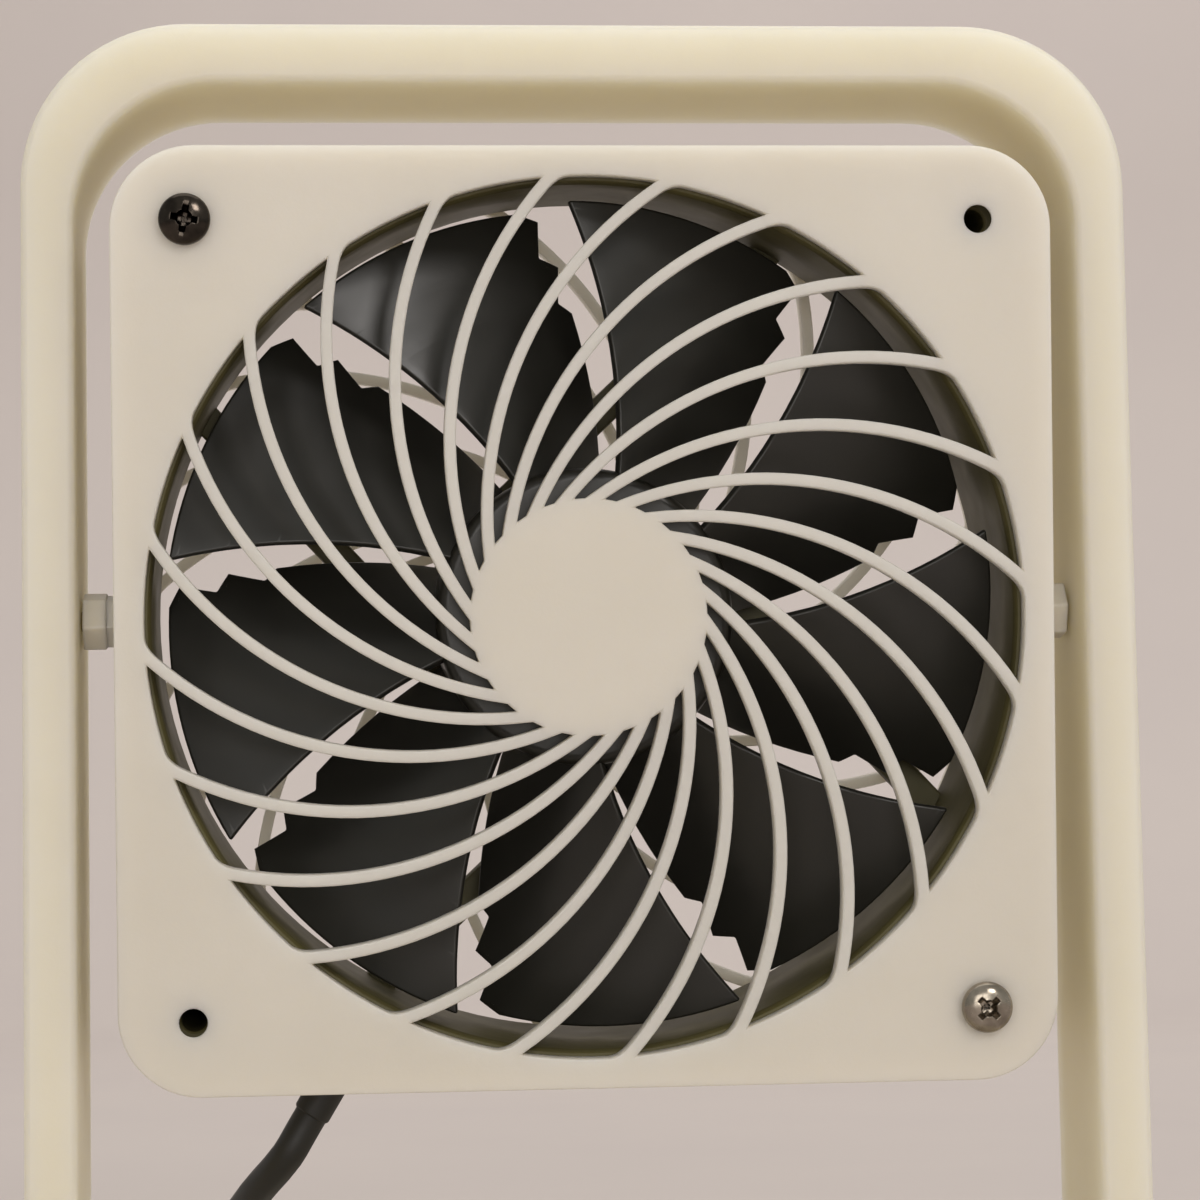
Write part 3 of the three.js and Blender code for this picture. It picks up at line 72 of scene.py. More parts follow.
TO_STAND = Matrix.Scale(MM, 4)
TO_HEAD = (
    Matrix.Translation((0, 0, TILT_AXIS_HEIGHT * MM))
    @ Matrix.Rotation(math.radians(HEAD_REST_TILT), 4, "X")
    @ Matrix.Scale(MM, 4)
)
HALF_TURN = Matrix.Rotation(math.pi, 4, "Z")


class Body(str, Enum):
    """The rigid bodies that a piece can ride on."""

    STAND = "stand"
    HEAD = "head"
    ROTOR = "rotor"


class Drive(Enum):
    """The recess in a screw's head."""

    CROSS = "cross"
    CROSS_AND_SLOT = "cross and slot"


# ---------------------------------------------------------------- materials


def linear(hex_code: str) -> tuple[float, float, float, float]:
    """Turn an sRGB hex value such as "d9ccb9" to linear light.

    Args:
        hex_code: Six hexadecimal digits.

    Returns:
        Red, green, blue and an alpha of 1.
    """
    channels = [int(hex_code[i : i + 2], 16) / 255 for i in (0, 2, 4)]
    red, green, blue = (c / 12.92 if c <= 0.04045 else ((c + 0.055) / 1.055) ** 2.4 for c in channels)
    return red, green, blue, 1.0


def per_metre(size_mm: float) -> float:
    """Give the texture scale that repeats a pattern every size_mm on Object coordinates."""
    return 1.0 / (size_mm * MM)


def add_node(tree: Tree, kind: str, settings: dict[str, Any] | None = None,
             **sockets: Any) -> bpy.types.Node:
    """Add a node with its settings, input values and links.

    Args:
        tree: The node tree that gets the node.
        kind: The node's type, such as "ShaderNodeBump".
        settings: Attributes of the node itself.
        **sockets: Input name with "_" for a space, and its value or the output socket to link.

    Returns:
        The new node.
    """
    node = tree.nodes.new(kind)
    for name, value in (settings or {}).items():
        setattr(node, name, value)
    for name, value in sockets.items():
        key = int(name[1:]) if name[0] == "i" and name[1:].isdigit() else name.replace("_", " ")
        if isinstance(value, Socket):
            tree.links.new(value, node.inputs[key])
        else:
            node.inputs[key].default_value = value
    return node


@dataclass(frozen=True)
class Finish:
    """A surface with fine grain, slow colour variation and uneven gloss, which the others refine.

    Attributes:
        name: The material's name.
        colour: Its sRGB hex colour.
        shade: The sRGB hex colour of its darker patches.
        roughness: Its mean roughness.
        uneven: How far the roughness wanders to either side.
        grain_mm: The width of one grain of the surface.
        grain_depth_mm: How deep the grain is.
        patch_mm: The width of a patch of colour.
        metallic: 1 for a metal.
        stretch: What the grain's width is divided by along each axis.
        grain_detail: How much finer structure the grain has.
        grain_strength: How strongly the grain shows.
    """

    name: str
    colour: str
    shade: str
    roughness: float = 0.5
    uneven: float = 0.05
    grain_mm: float = 0.5
    grain_depth_mm: float = 0.02
    patch_mm: float = 22.0
    metallic: float = 0.0
    stretch: tuple[float, float, float] = (1.0, 1.0, 1.0)
    grain_detail: float = 2.0
    grain_strength: float = 0.5

    def build(self) -> Material:
        """Make the material.

        Returns:
            The new material.
        """
        material = bpy.data.materials.new(self.name)
        material.use_nodes = True
        tree = material.node_tree
        shader = tree.nodes["Principled BSDF"]
        coords = add_node(tree, "ShaderNodeTexCoord").outputs["Object"]
        tree.links.new(self.colour_socket(tree, coords), shader.inputs["Base Color"])
        tree.links.new(self.roughness_socket(tree, coords), shader.inputs["Roughness"])
        tree.links.new(self.bump_socket(tree, coords), shader.inputs["Normal"])
        shader.inputs["Metallic"].default_value = self.metallic
        if not self.metallic:
            shader.inputs["IOR"].default_value = PLASTIC_IOR
        self.finish_shader(shader)
        return material

    def colour_socket(self, tree: Tree, coords: Socket) -> Socket:
        """Mix the colour and its shade in soft patches.

        Args:
            tree: The node tree.
            coords: The coordinates that the pattern follows.

        Returns:
            The colour.
        """
        patches = add_node(tree, "ShaderNodeTexNoise", Vector=coords, Scale=per_metre(self.patch_mm),
                           Detail=4.0, Roughness=0.55)
        spread = add_node(tree, "ShaderNodeMapRange", Value=patches.outputs["Fac"], i1=0.3, i2=0.7)
        mixed = add_node(tree, "ShaderNodeMix", {"data_type": "RGBA"}, Factor=spread.outputs["Result"],
                         i6=linear(self.colour), i7=linear(self.shade))
        return mixed.outputs[2]

    def roughness_socket(self, tree: Tree, coords: Socket) -> Socket:
        """Let the gloss wander, as handling and tool marks make it.

        Args:
            tree: The node tree.
            coords: The coordinates that the pattern follows.

        Returns:
            The roughness.
        """
        handled = add_node(tree, "ShaderNodeTexNoise", Vector=coords, Scale=per_metre(self.patch_mm / 3),
                           Detail=5.0)
        spread = add_node(tree, "ShaderNodeMapRange", Value=handled.outputs["Fac"], i1=0.25, i2=0.75,
                          i3=self.roughness - self.uneven, i4=self.roughness + self.uneven)
        return spread.outputs["Result"]

    def bump_socket(self, tree: Tree, coords: Socket) -> Socket:
        """Give the surface its grain, drawn out the way the material ran.

        Args:
            tree: The node tree.
            coords: The coordinates that the pattern follows.

        Returns:
            The bent normal.
        """
        drawn = add_node(tree, "ShaderNodeMapping", Vector=coords, Scale=self.stretch)
        grain = add_node(tree, "ShaderNodeTexNoise", Vector=drawn.outputs["Vector"],
                         Scale=per_metre(self.grain_mm), Detail=self.grain_detail)
        bump = add_node(tree, "ShaderNodeBump", Height=grain.outputs["Fac"], Strength=self.grain_strength,
                        Distance=self.grain_depth_mm * MM)
        return bump.outputs["Normal"]

    def finish_shader(self, shader: bpy.types.Node) -> None:
        """Set what only some finishes have."""


@dataclass(frozen=True)
class SparkErodedAbs(Finish):
    """Cream ABS from a spark-eroded mould: a fine even grain, a soft highlight and thin ribs that glow."""

    name: str = "cream_abs_spark_eroded"
    colour: str = "d9d1c4"
    shade: str = "d5cdbf"
    roughness: float = 0.48
    uneven: float = 0.05
    grain_mm: float = 0.42
    grain_depth_mm: float = 0.02
    patch_mm: float = 34.0
    glow_mm: float = 8.0
    glow_colour: tuple[float, float, float] = (1.0, 0.97, 0.85)

    def finish_shader(self, shader: bpy.types.Node) -> None:
        """Let light pass a little way through the plastic, blue less far than red and green.

        Args:
            shader: The material's shader.
        """
        shader.inputs["Subsurface Weight"].default_value = 1.0
        shader.inputs["Subsurface Radius"].default_value = self.glow_colour
        shader.inputs["Subsurface Scale"].default_value = self.glow_mm * MM


@dataclass(frozen=True)
class BladePbt(Finish):
    """Black glass-filled PBT blades: satin, with faint ripples round the axis where the mould filled."""

    name: str = "black_pbt_blades"
    colour: str = "252420"
    shade: str = "201f1b"
    roughness: float = 0.35
    uneven: float = 0.04
    grain_mm: float = 0.6
    grain_depth_mm: float = 0.006
    patch_mm: float = 18.0
    ripple_mm: float = 8.0
    ripple_depth_mm: float = 0.035

    def bump_socket(self, tree: Tree, coords: Socket) -> Socket:
        """Add ripples that follow the radius to the grain.

        Args:
            tree: The node tree.
            coords: The coordinates that the pattern follows.

        Returns:
            The bent normal.
        """
        centred = add_node(tree, "ShaderNodeMapping", Vector=coords,
                           Location=(0.0, 0.0, -TILT_AXIS_HEIGHT * MM), Scale=(1.0, 0.0, 1.0))
        radius = add_node(tree, "ShaderNodeVectorMath", {"operation": "LENGTH"}, i0=centred.outputs["Vector"])
        phase = add_node(tree, "ShaderNodeMath", {"operation": "MULTIPLY"}, i0=radius.outputs["Value"],
                         i1=2 * math.pi * per_metre(self.ripple_mm))
        ripple = add_node(tree, "ShaderNodeMath", {"operation": "SINE"}, i0=phase.outputs["Value"])
        broad = add_node(tree, "ShaderNodeBump", Height=ripple.outputs["Value"], Strength=0.5,
                         Distance=self.ripple_depth_mm * MM)
        grain = add_node(tree, "ShaderNodeTexNoise", Vector=coords, Scale=per_metre(self.grain_mm),
                         Detail=3.0)
        bump = add_node(tree, "ShaderNodeBump", Height=grain.outputs["Fac"], Strength=self.grain_strength,
                        Distance=self.grain_depth_mm * MM, Normal=broad.outputs["Normal"])
        return bump.outputs["Normal"]


@dataclass(frozen=True)
class HookAndLoop(Finish):
    """Black nylon hook-and-loop tape: a nap of loops, coarser than the real 0.3 mm so that it shows."""

    name: str = "black_nylon_loop"
    colour: str = "1b1b1d"
    shade: str = "303034"
    roughness: float = 0.9
    uneven: float = 0.05
    grain_mm: float = 0.6
    grain_depth_mm: float = 0.35
    grain_strength: float = 0.9
    patch_mm: float = 1.2

    def bump_socket(self, tree: Tree, coords: Socket) -> Socket:
        """Cover the tape with little round loops.

        Args:
            tree: The node tree.
            coords: The coordinates that the pattern follows.

        Returns:
            The bent normal.
        """
        loops = add_node(tree, "ShaderNodeTexVoronoi", Vector=coords, Scale=per_metre(self.grain_mm))
        bump = add_node(tree, "ShaderNodeBump", {"invert": True}, Height=loops.outputs["Distance"],
                        Strength=self.grain_strength, Distance=self.grain_depth_mm * MM)
        return bump.outputs["Normal"]

    def finish_shader(self, shader: bpy.types.Node) -> None:
        """Give the nap its pale edge."""
        shader.inputs["Sheen Weight"].default_value = 0.4
        shader.inputs["Sheen Roughness"].default_value = 0.5


@dataclass(frozen=True)
class WoundCopper(Finish):
    """Enamelled copper wire wound in layers: rows of 0.4 mm wire under a warm clear enamel."""

    name: str = "copper_wire_enamelled"
    colour: str = "b8683a"
    shade: str = "8f4a26"
    roughness: float = 0.28
    uneven: float = 0.05
    grain_mm: float = 0.4
    grain_depth_mm: float = 0.15
    grain_strength: float = 0.8
    patch_mm: float = 3.0
    metallic: float = 1.0

    def bump_socket(self, tree: Tree, coords: Socket) -> Socket:
        """Lay the wires side by side round the pole.

        Args:
            tree: The node tree.
            coords: The coordinates that the pattern follows.

        Returns:
            The bent normal.
        """
        rows = add_node(tree, "ShaderNodeTexWave", {"bands_direction": "DIAGONAL"}, Vector=coords,
                        Scale=per_metre(self.grain_mm) / 20, Distortion=0.4)
        bump = add_node(tree, "ShaderNodeBump", Height=rows.outputs["Fac"], Strength=self.grain_strength,
                        Distance=self.grain_depth_mm * MM)
        return bump.outputs["Normal"]


# The cream ABS of the arch, the base and the bushings: the thicker the walls, the farther light runs in them.
STAND_ABS = SparkErodedAbs("cream_abs_stand", "dad1bf", "d6cdba", glow_mm=22.0, glow_colour=(1.0, 0.96, 0.72))
BASE_ABS = SparkErodedAbs("cream_abs_base", "dcd4c6", "d8cfc1", glow_mm=2.0)
# The bushings' cream is painted paler than the head's: painted light for the shaded gap between the head and
# the legs.
BUSHING_CREAM_PAINTED_LIGHT = SparkErodedAbs("cream_bushing_painted_light", "f0e8d8", "eae1cf", 0.38, glow_mm=2.5)
# Smoky translucent PBT from a polished mould: olive grey, with faint lines the way the melt ran.
SMOKY_PBT = Finish("smoky_pbt_polished", "5c5632", "504a2b", 0.55, 0.06, 1.6, 0.006, 16.0,
                   stretch=(1.0, 1 / 6, 1.0), grain_detail=3.0, grain_strength=0.6)
# Bright nickel on a cold-headed screw: a mirror that the heading die pitted and streaked.
NICKEL = Finish("nickel_plate_headed", "a89f92", "7a7267", 0.22, 0.08, 0.9, 0.03, 2.4, 1.0)
# The same nickel painted nearly black: a painted dark reflection, for the screw whose head mirrors a dark
# part of the room.
NICKEL_PAINTED_DARK_REFLECTION = replace(NICKEL, name="nickel_plate_painted_dark_reflection", colour="4d463f", shade="2b2723", roughness=0.16,
                       uneven=0.06)
# Black plasticised PVC over the lead: matt, with the slight waviness of an extruded skin.
PVC_JACKET = Finish("black_pvc_extruded", "1c1b18", "171613", 0.5, 0.08, 1.6, 0.04, 16.0)
# Black silicone rubber: matt and dusty, with a grippy bloom.
SILICONE = Finish("black_silicone_moulded", "1c1b1b", "2a2927", 0.78, 0.08, 0.35, 0.03, 6.0)
# Zinc-flashed sheet steel from the roll: straight fine lines along X and a cool grey.
ZINC_STEEL = Finish("zinc_steel_rolled", "9a9c9f", "84868a", 0.36, 0.08, 0.3, 0.012, 7.0, 1.0,
                    stretch=(1 / 20, 1.0, 1.0))
# Sintered bronze: porous, brown and dull. Bonded ferrite: nearly black and matt. Solder mask: glossy green.
SINTERED_BRONZE = Finish("bronze_sintered", "9b7a4a", "7d6038", 0.5, 0.08, 0.25, 0.04, 2.0, 1.0)
BONDED_FERRITE = Finish("ferrite_bonded", "33312f", "262422", 0.7, 0.06, 0.3, 0.03, 3.0)
SOLDER_MASK = Finish("solder_mask_green", "2f5a3c", "234a30", 0.3, 0.05, 1.2, 0.02, 4.0)
# Matt emulsion for the floor and the backdrop, pale and a little lilac.
STUDIO_PAINT = Finish("studio_emulsion", "ccc2be", "c9bfbc", 0.9, 0.02, 2.0, 0.01, 160.0)


class Finishes:
    """Every material of the object, built once."""

    def __init__(self) -> None:
        """Build each finish."""
        self.cream = SparkErodedAbs().build()
        self.stand = STAND_ABS.build()
        self.base = BASE_ABS.build()
        self.bushing = BUSHING_CREAM_PAINTED_LIGHT.build()
        self.duct = SMOKY_PBT.build()
        self.blades = BladePbt().build()
        self.nickel = NICKEL.build()
        self.nickel_painted_dark = NICKEL_PAINTED_DARK_REFLECTION.build()
        self.jacket = PVC_JACKET.build()
        self.foot = SILICONE.build()
        self.loop_tape = HookAndLoop().build()
        self.steel = ZINC_STEEL.build()
        self.copper = WoundCopper().build()
        self.bronze = SINTERED_BRONZE.build()
        self.ferrite = BONDED_FERRITE.build()
        self.board = SOLDER_MASK.build()
        self.studio = STUDIO_PAINT.build()


# ---------------------------------------------------------------- mesh tools


def polar(radius: float, degrees: float) -> Point:
    """Give the point at a radius and an angle counted from +X."""
    angle = math.radians(degrees)
    return radius * math.cos(angle), radius * math.sin(angle)


def arc(centre: Point, radius: float, first: float, last: float, steps: int) -> list[Point]:
    """Give the points of an arc, ends included.

    Args:
        centre: The arc's centre.
        radius: Its radius.
        first: Its first angle in degrees.
        last: Its last angle in degrees.
        steps: The number of straight runs.

    Returns:
        steps + 1 points.
    """
    turns = [first + (last - first) * i / steps for i in range(steps + 1)]
    return [(centre[0] + polar(radius, a)[0], centre[1] + polar(radius, a)[1]) for a in turns]


def circle(radius: float, steps: int, centre: Point = (0.0, 0.0)) -> list[Point]:
    """Give the points of a full circle, each once."""
    return arc(centre, radius, 0, 360, steps)[:-1]


def rounded_rectangle(half_width: float, half_height: float, radius: float, steps: int = 12) -> list[Point]:
    """Give the outline of a rectangle with round corners, anticlockwise.

    Args:
        half_width: Half its width.
        half_height: Half its height.
        radius: The radius of its corners.
        steps: The number of straight runs in a corner.

    Returns:
        Its points.
    """
    x, y = half_width - radius, half_height - radius
    corners = [((x, y), 0), ((-x, y), 90), ((-x, -y), 180), ((x, -y), 270)]
    return [point for centre, first in corners for point in arc(centre, radius, first, first + 90, steps)]


def loop_edges(bm: BMesh, outline: Sequence[Point]) -> list[bmesh.types.BMEdge]:
    """Draw a closed outline in the X-Z plane.

    Args:
        bm: The mesh that gets the outline.
        outline: Its points as (x, z).

    Returns:
        The outline's edges.
    """
    verts = [bm.verts.new((x, 0.0, z)) for x, z in outline]
    return [bm.edges.new((a, b)) for a, b in zip(verts, verts[1:] + verts[:1])]


def extruded(outline: Sequence[Point], front: float, rear: float,
             holes: Sequence[Sequence[Point]] = ()) -> BMesh:
    """Fill an outline round its holes and extrude it along Y.

    Args:
        outline: The outer outline as (x, z).
        front: The Y of the front face.
        rear: The Y of the rear face.
        holes: Outlines of the holes.

    Returns:
        A closed mesh.
    """
    bm = bmesh.new()
    edges = [edge for line in (outline, *holes) for edge in loop_edges(bm, line)]
    bmesh.ops.triangle_fill(bm, edges=edges, use_beauty=True, use_dissolve=False, normal=(0, -1, 0))
    bmesh.ops.dissolve_limit(bm, angle_limit=0.001, verts=bm.verts, edges=bm.edges)
    bmesh.ops.translate(bm, verts=bm.verts, vec=(0, front, 0))
    grown = bmesh.ops.extrude_face_region(bm, geom=bm.faces[:])
    moved = [v for v in grown["geom"] if isinstance(v, bmesh.types.BMVert)]
    bmesh.ops.translate(bm, verts=moved, vec=(0, rear - front, 0))
    bmesh.ops.recalc_face_normals(bm, faces=bm.faces)
    return bm


def revolved(profile: Sequence[Point], steps: int = 64) -> BMesh:
    """Spin a closed (radius, y) profile round the Y axis.

    Args:
        profile: The profile's corners in order. Two neighbours on the axis leave that edge out.
        steps: The number of sides.

    Returns:
        A closed mesh.
    """
    bm = bmesh.new()
    verts = [bm.verts.new((radius, y, 0.0)) for radius, y in profile]
    pairs = zip(verts, verts[1:] + verts[:1])
    edges = [bm.edges.new(pair) for pair in pairs if pair[0].co.x + pair[1].co.x > 1e-6]
    bmesh.ops.spin(bm, geom=verts + edges, cent=(0, 0, 0), axis=(0, 1, 0), angle=2 * math.pi, steps=steps,
                   use_merge=True)
    bmesh.ops.remove_doubles(bm, verts=bm.verts, dist=1e-4)
    bmesh.ops.recalc_face_normals(bm, faces=bm.faces)
    return bm


def tube(outer: float, inner: float, front: float, rear: float, steps: int = 64) -> BMesh:
    """Make a plain tube along Y."""
    return revolved([(inner, front), (outer, front), (outer, rear), (inner, rear)], steps)


def box(size: Sequence[float], centre: Sequence[float]) -> BMesh:
    """Make a block of a size round a centre.

    Args:
        size: Its size along X, Y and Z.
        centre: Its middle.

    Returns:
        A closed mesh.
    """
    bm = bmesh.new()
    bmesh.ops.create_cube(bm, size=1.0)
    bmesh.ops.scale(bm, vec=size, verts=bm.verts)
    bmesh.ops.translate(bm, vec=centre, verts=bm.verts)
    return bm


def placed(bm: BMesh, matrix: Matrix) -> BMesh:
    """Move a mesh by a matrix and give it back."""
    bmesh.ops.transform(bm, matrix=matrix, verts=bm.verts)
    return bm


def at(x: float, y: float, z: float) -> Matrix:
    """Give a move by millimetres."""
    return Matrix.Translation((x, y, z))


def turn(degrees: float, axis: str) -> Matrix:
    """Give a turn about an axis."""
    return Matrix.Rotation(math.radians(degrees), 4, axis)


def together(*parts: BMesh) -> BMesh:
    """Put several meshes in one.

    Args:
        *parts: The meshes, which are freed.

    Returns:
        One mesh with all their faces.
    """
    whole = bmesh.new()
    for part in parts:
        mesh = bpy.data.meshes.new("part")
        part.to_mesh(mesh)
        part.free()
        whole.from_mesh(mesh)
        bpy.data.meshes.remove(mesh)
    return whole


def carved(bm: BMesh, cutter: BMesh) -> BMesh:
    """Cut one closed mesh with another.

    Args:
        bm: The mesh to cut.
        cutter: The mesh that cuts it.

    Returns:
        The cut mesh, with flat faces whole.
    """
    objects = []
    for part in (bm, cutter):
        mesh = bpy.data.meshes.new("solid")
        part.to_mesh(mesh)
        part.free()
        objects.append(bpy.data.objects.new("solid", mesh))
        bpy.context.scene.collection.objects.link(objects[-1])
    blank, tool = objects
    cut = blank.modifiers.new("cut", "BOOLEAN")
    cut.operation = "DIFFERENCE"
    cut.solver = "EXACT"
    cut.object = tool
    bpy.context.view_layer.update()
    evaluated = blank.evaluated_get(bpy.context.evaluated_depsgraph_get())
    result = bmesh.new()
    result.from_mesh(evaluated.to_mesh())
    for item in objects:
        mesh = item.data
        bpy.data.objects.remove(item)
        bpy.data.meshes.remove(mesh)
    bmesh.ops.remove_doubles(result, verts=result.verts, dist=1e-4)
    bmesh.ops.dissolve_limit(result, angle_limit=0.002, verts=result.verts, edges=result.edges)
    return result


def rounded(bm: BMesh, width: float, segments: int = 2, sharper_than: float = 40.0) -> BMesh:
    """Round every edge that turns by more than an angle.

    Args:
        bm: The mesh.
        width: The width that the rounding takes of each face.
        segments: The number of strips.
        sharper_than: The least angle between faces, in degrees.

    Returns:
        The same mesh.
    """
    limit = math.radians(sharper_than)
    edges = [e for e in bm.edges if e.is_manifold and e.calc_face_angle(0.0) > limit]
    bmesh.ops.bevel(bm, geom=edges, offset=width, offset_type="OFFSET", segments=segments, profile=0.5,
                    affect="EDGES", clamp_overlap=False, material=-1)
    return bm


@dataclass
class Dresser:
    """Turns finished meshes into pieces that ride on the frame's bodies."""

    count: int = 0

    def piece(self, name: str, bm: BMesh, finish: Material, body: Body | None, slot: str,
              place: Matrix = TO_STAND, nodes: Sequence[str] = (), smooth_below: float = 42.0,
              ) -> Piece:
        """Make one piece from a mesh in millimetres.

        Args:
            name: The piece's name.
            bm: Its mesh, which is freed.
            finish: Its material.
            body: The body it rides on, or None for a piece left on no body.
            slot: The record's material slot; not used.
            place: The matrix from its own millimetres to metres in the part's frame.
            nodes: The CAD nodes that it stands for.
            smooth_below: Edges that turn by less than this many degrees are shaded smooth.

        Returns:
            The new object.
        """
        bmesh.ops.transform(bm, matrix=place, verts=bm.verts)
        bmesh.ops.recalc_face_normals(bm, faces=bm.faces)
        limit = math.radians(smooth_below)
        for face in bm.faces:
            face.smooth = True
        for edge in bm.edges:
            edge.smooth = edge.is_manifold and edge.calc_face_angle(0.0) < limit
        mesh = bpy.data.meshes.new(name)
        bm.to_mesh(mesh)
        bm.free()
        mesh.materials.append(finish)
        piece = bpy.data.objects.new(name, mesh)
        bpy.context.scene.collection.objects.link(piece)
        flat = piece.modifiers.new("flat faces stay flat", "WEIGHTED_NORMAL")
        flat.weight = 90
        flat.keep_sharp = True
        if body is not None:
            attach(piece, body.value)
        if nodes:
            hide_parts(*nodes)
        self.count += 1
        LOG.info("%s stands for %s", name, ", ".join(nodes) or "nothing in the frame")
        return piece

    def dress_nodes(self, finish: Material, *nodes: str) -> None:
        """Give nodes that stay as they are their finish.

        Args:
            finish: The material.
            *nodes: The names of the CAD nodes.
        """
        for name in nodes:
            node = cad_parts[name]
            node.data.materials.clear()
            node.data.materials.append(finish)


# ---------------------------------------------------------------- camera, light and floor


@dataclass
class Studio:
    """The photograph's viewing angle, soft light, a pale floor and a sweep behind it."""

    eye_mm: tuple[float, float, float] = (-35.0, -452.1, 78.2)
    yaw: float = 0.0836
    pitch: float = 0.0792
    roll: float = -0.0176
    focal_units: float = 3674.0
    frame_units: float = 1330.0
    floor_half: float = 1.6
    sweep_radius: float = 0.5

    def camera(self) -> None:
        """Put the camera where the photograph was taken from."""
        level = math.cos(self.pitch)
        forward = Vector((math.sin(self.yaw) * level, math.cos(self.yaw) * level, math.sin(self.pitch)))
        right = Vector((math.cos(self.yaw), -math.sin(self.yaw), 0.0))
        up = right.cross(forward)
        across = right * math.cos(self.roll) + up * math.sin(self.roll)
        upright = up * math.cos(self.roll) - right * math.sin(self.roll)
        data = bpy.data.cameras.new("camera")
        data.sensor_width = 36.0
        data.lens = data.sensor_width * self.focal_units / self.frame_units
        data.clip_start = 0.02
        data.clip_end = 20.0
        camera = bpy.data.objects.new("camera", data)
        camera.matrix_world = Matrix.Translation(Vector(self.eye_mm) * MM) @ Matrix(
            (across, upright, -forward)).transposed().to_4x4()
        bpy.context.scene.collection.objects.link(camera)
        bpy.context.scene.camera = camera

    def lamp(self, name: str, place: Sequence[float], size: float, watts: float, colour: str,
             target: Sequence[float] = (0.0, 0.0, 0.112)) -> None:
        """Hang one soft square lamp.

        Args:
            name: The lamp's name.
            place: Where it hangs, in metres.
            size: The length of its side in metres.
            watts: Its power.
            colour: Its sRGB hex colour.
            target: The place that it faces, in metres.
        """
        data = bpy.data.lights.new(name, "AREA")
        data.size = size
        data.energy = watts
        data.color = linear(colour)[:3]
        lamp = bpy.data.objects.new(name, data)
        lamp.location = place
        lamp.rotation_mode = "QUATERNION"
        lamp.rotation_quaternion = (Vector(target) - Vector(place)).to_track_quat("-Z", "Y")
        bpy.context.scene.collection.objects.link(lamp)

    def light(self) -> None:
        """Hang the lamps and set the room's own light."""
        self.lamp("window", (0.5, -1.2, 0.8), 0.32, 4.6, "fffaf7")
        self.lamp("room", (-0.05, -1.1, 0.16), 0.6, 4.0, "fffbf7")
        self.lamp("ceiling", (0.0, 0.35, 1.8), 1.8, 12.0, "fffdf8")
        self.lamp("wall_wash", (0.4, 0.9, 1.2), 0.9, 3.2, "fffdfa", (0.25, 1.6, 0.45))
        world = bpy.data.worlds.new("room")
        world.use_nodes = True
        tree = world.node_tree
        tree.nodes["Background"].inputs["Color"].default_value = linear("f6f5ef")
        tree.nodes["Background"].inputs["Strength"].default_value = 0.57
        bpy.context.scene.world = world
        bpy.context.scene.view_settings.view_transform = "Standard"

    def floor(self, finish: Material) -> None:
        """Make the floor and the sweep that rises behind it.

        Args:
            finish: The paint.
        """
        bm = bmesh.new()
        half, radius = self.floor_half, self.sweep_radius
        start = bm.verts.new((-half, -half, 0.0))
        foot = bm.verts.new((-half, half - radius, 0.0))
        bm.edges.new((start, foot))
        bmesh.ops.spin(bm, geom=[foot], cent=(0, half - radius, radius), axis=(1, 0, 0), angle=math.pi / 2,
                       steps=24)
        top = max(bm.verts, key=lambda v: v.co.z)
        crown = bmesh.ops.extrude_vert_indiv(bm, verts=[top])["verts"]
        bmesh.ops.translate(bm, vec=(0, 0, 2 * half), verts=crown)
        sheet = bmesh.ops.extrude_edge_only(bm, edges=bm.edges[:])["geom"]
        moved = [v for v in sheet if isinstance(v, bmesh.types.BMVert)]
        bmesh.ops.translate(bm, vec=(2 * half, 0, 0), verts=moved)
        for face in bm.faces:
            face.smooth = True
            if face.normal.dot(Vector((0, -1, 1))) < 0:
                face.normal_flip()
        mesh = bpy.data.meshes.new("floor_and_sweep")
        bm.to_mesh(mesh)
        bm.free()
        mesh.materials.append(finish)
        sweep = bpy.data.objects.new("floor_and_sweep", mesh)
        bpy.context.scene.collection.objects.link(sweep)


# ---------------------------------------------------------------- cord


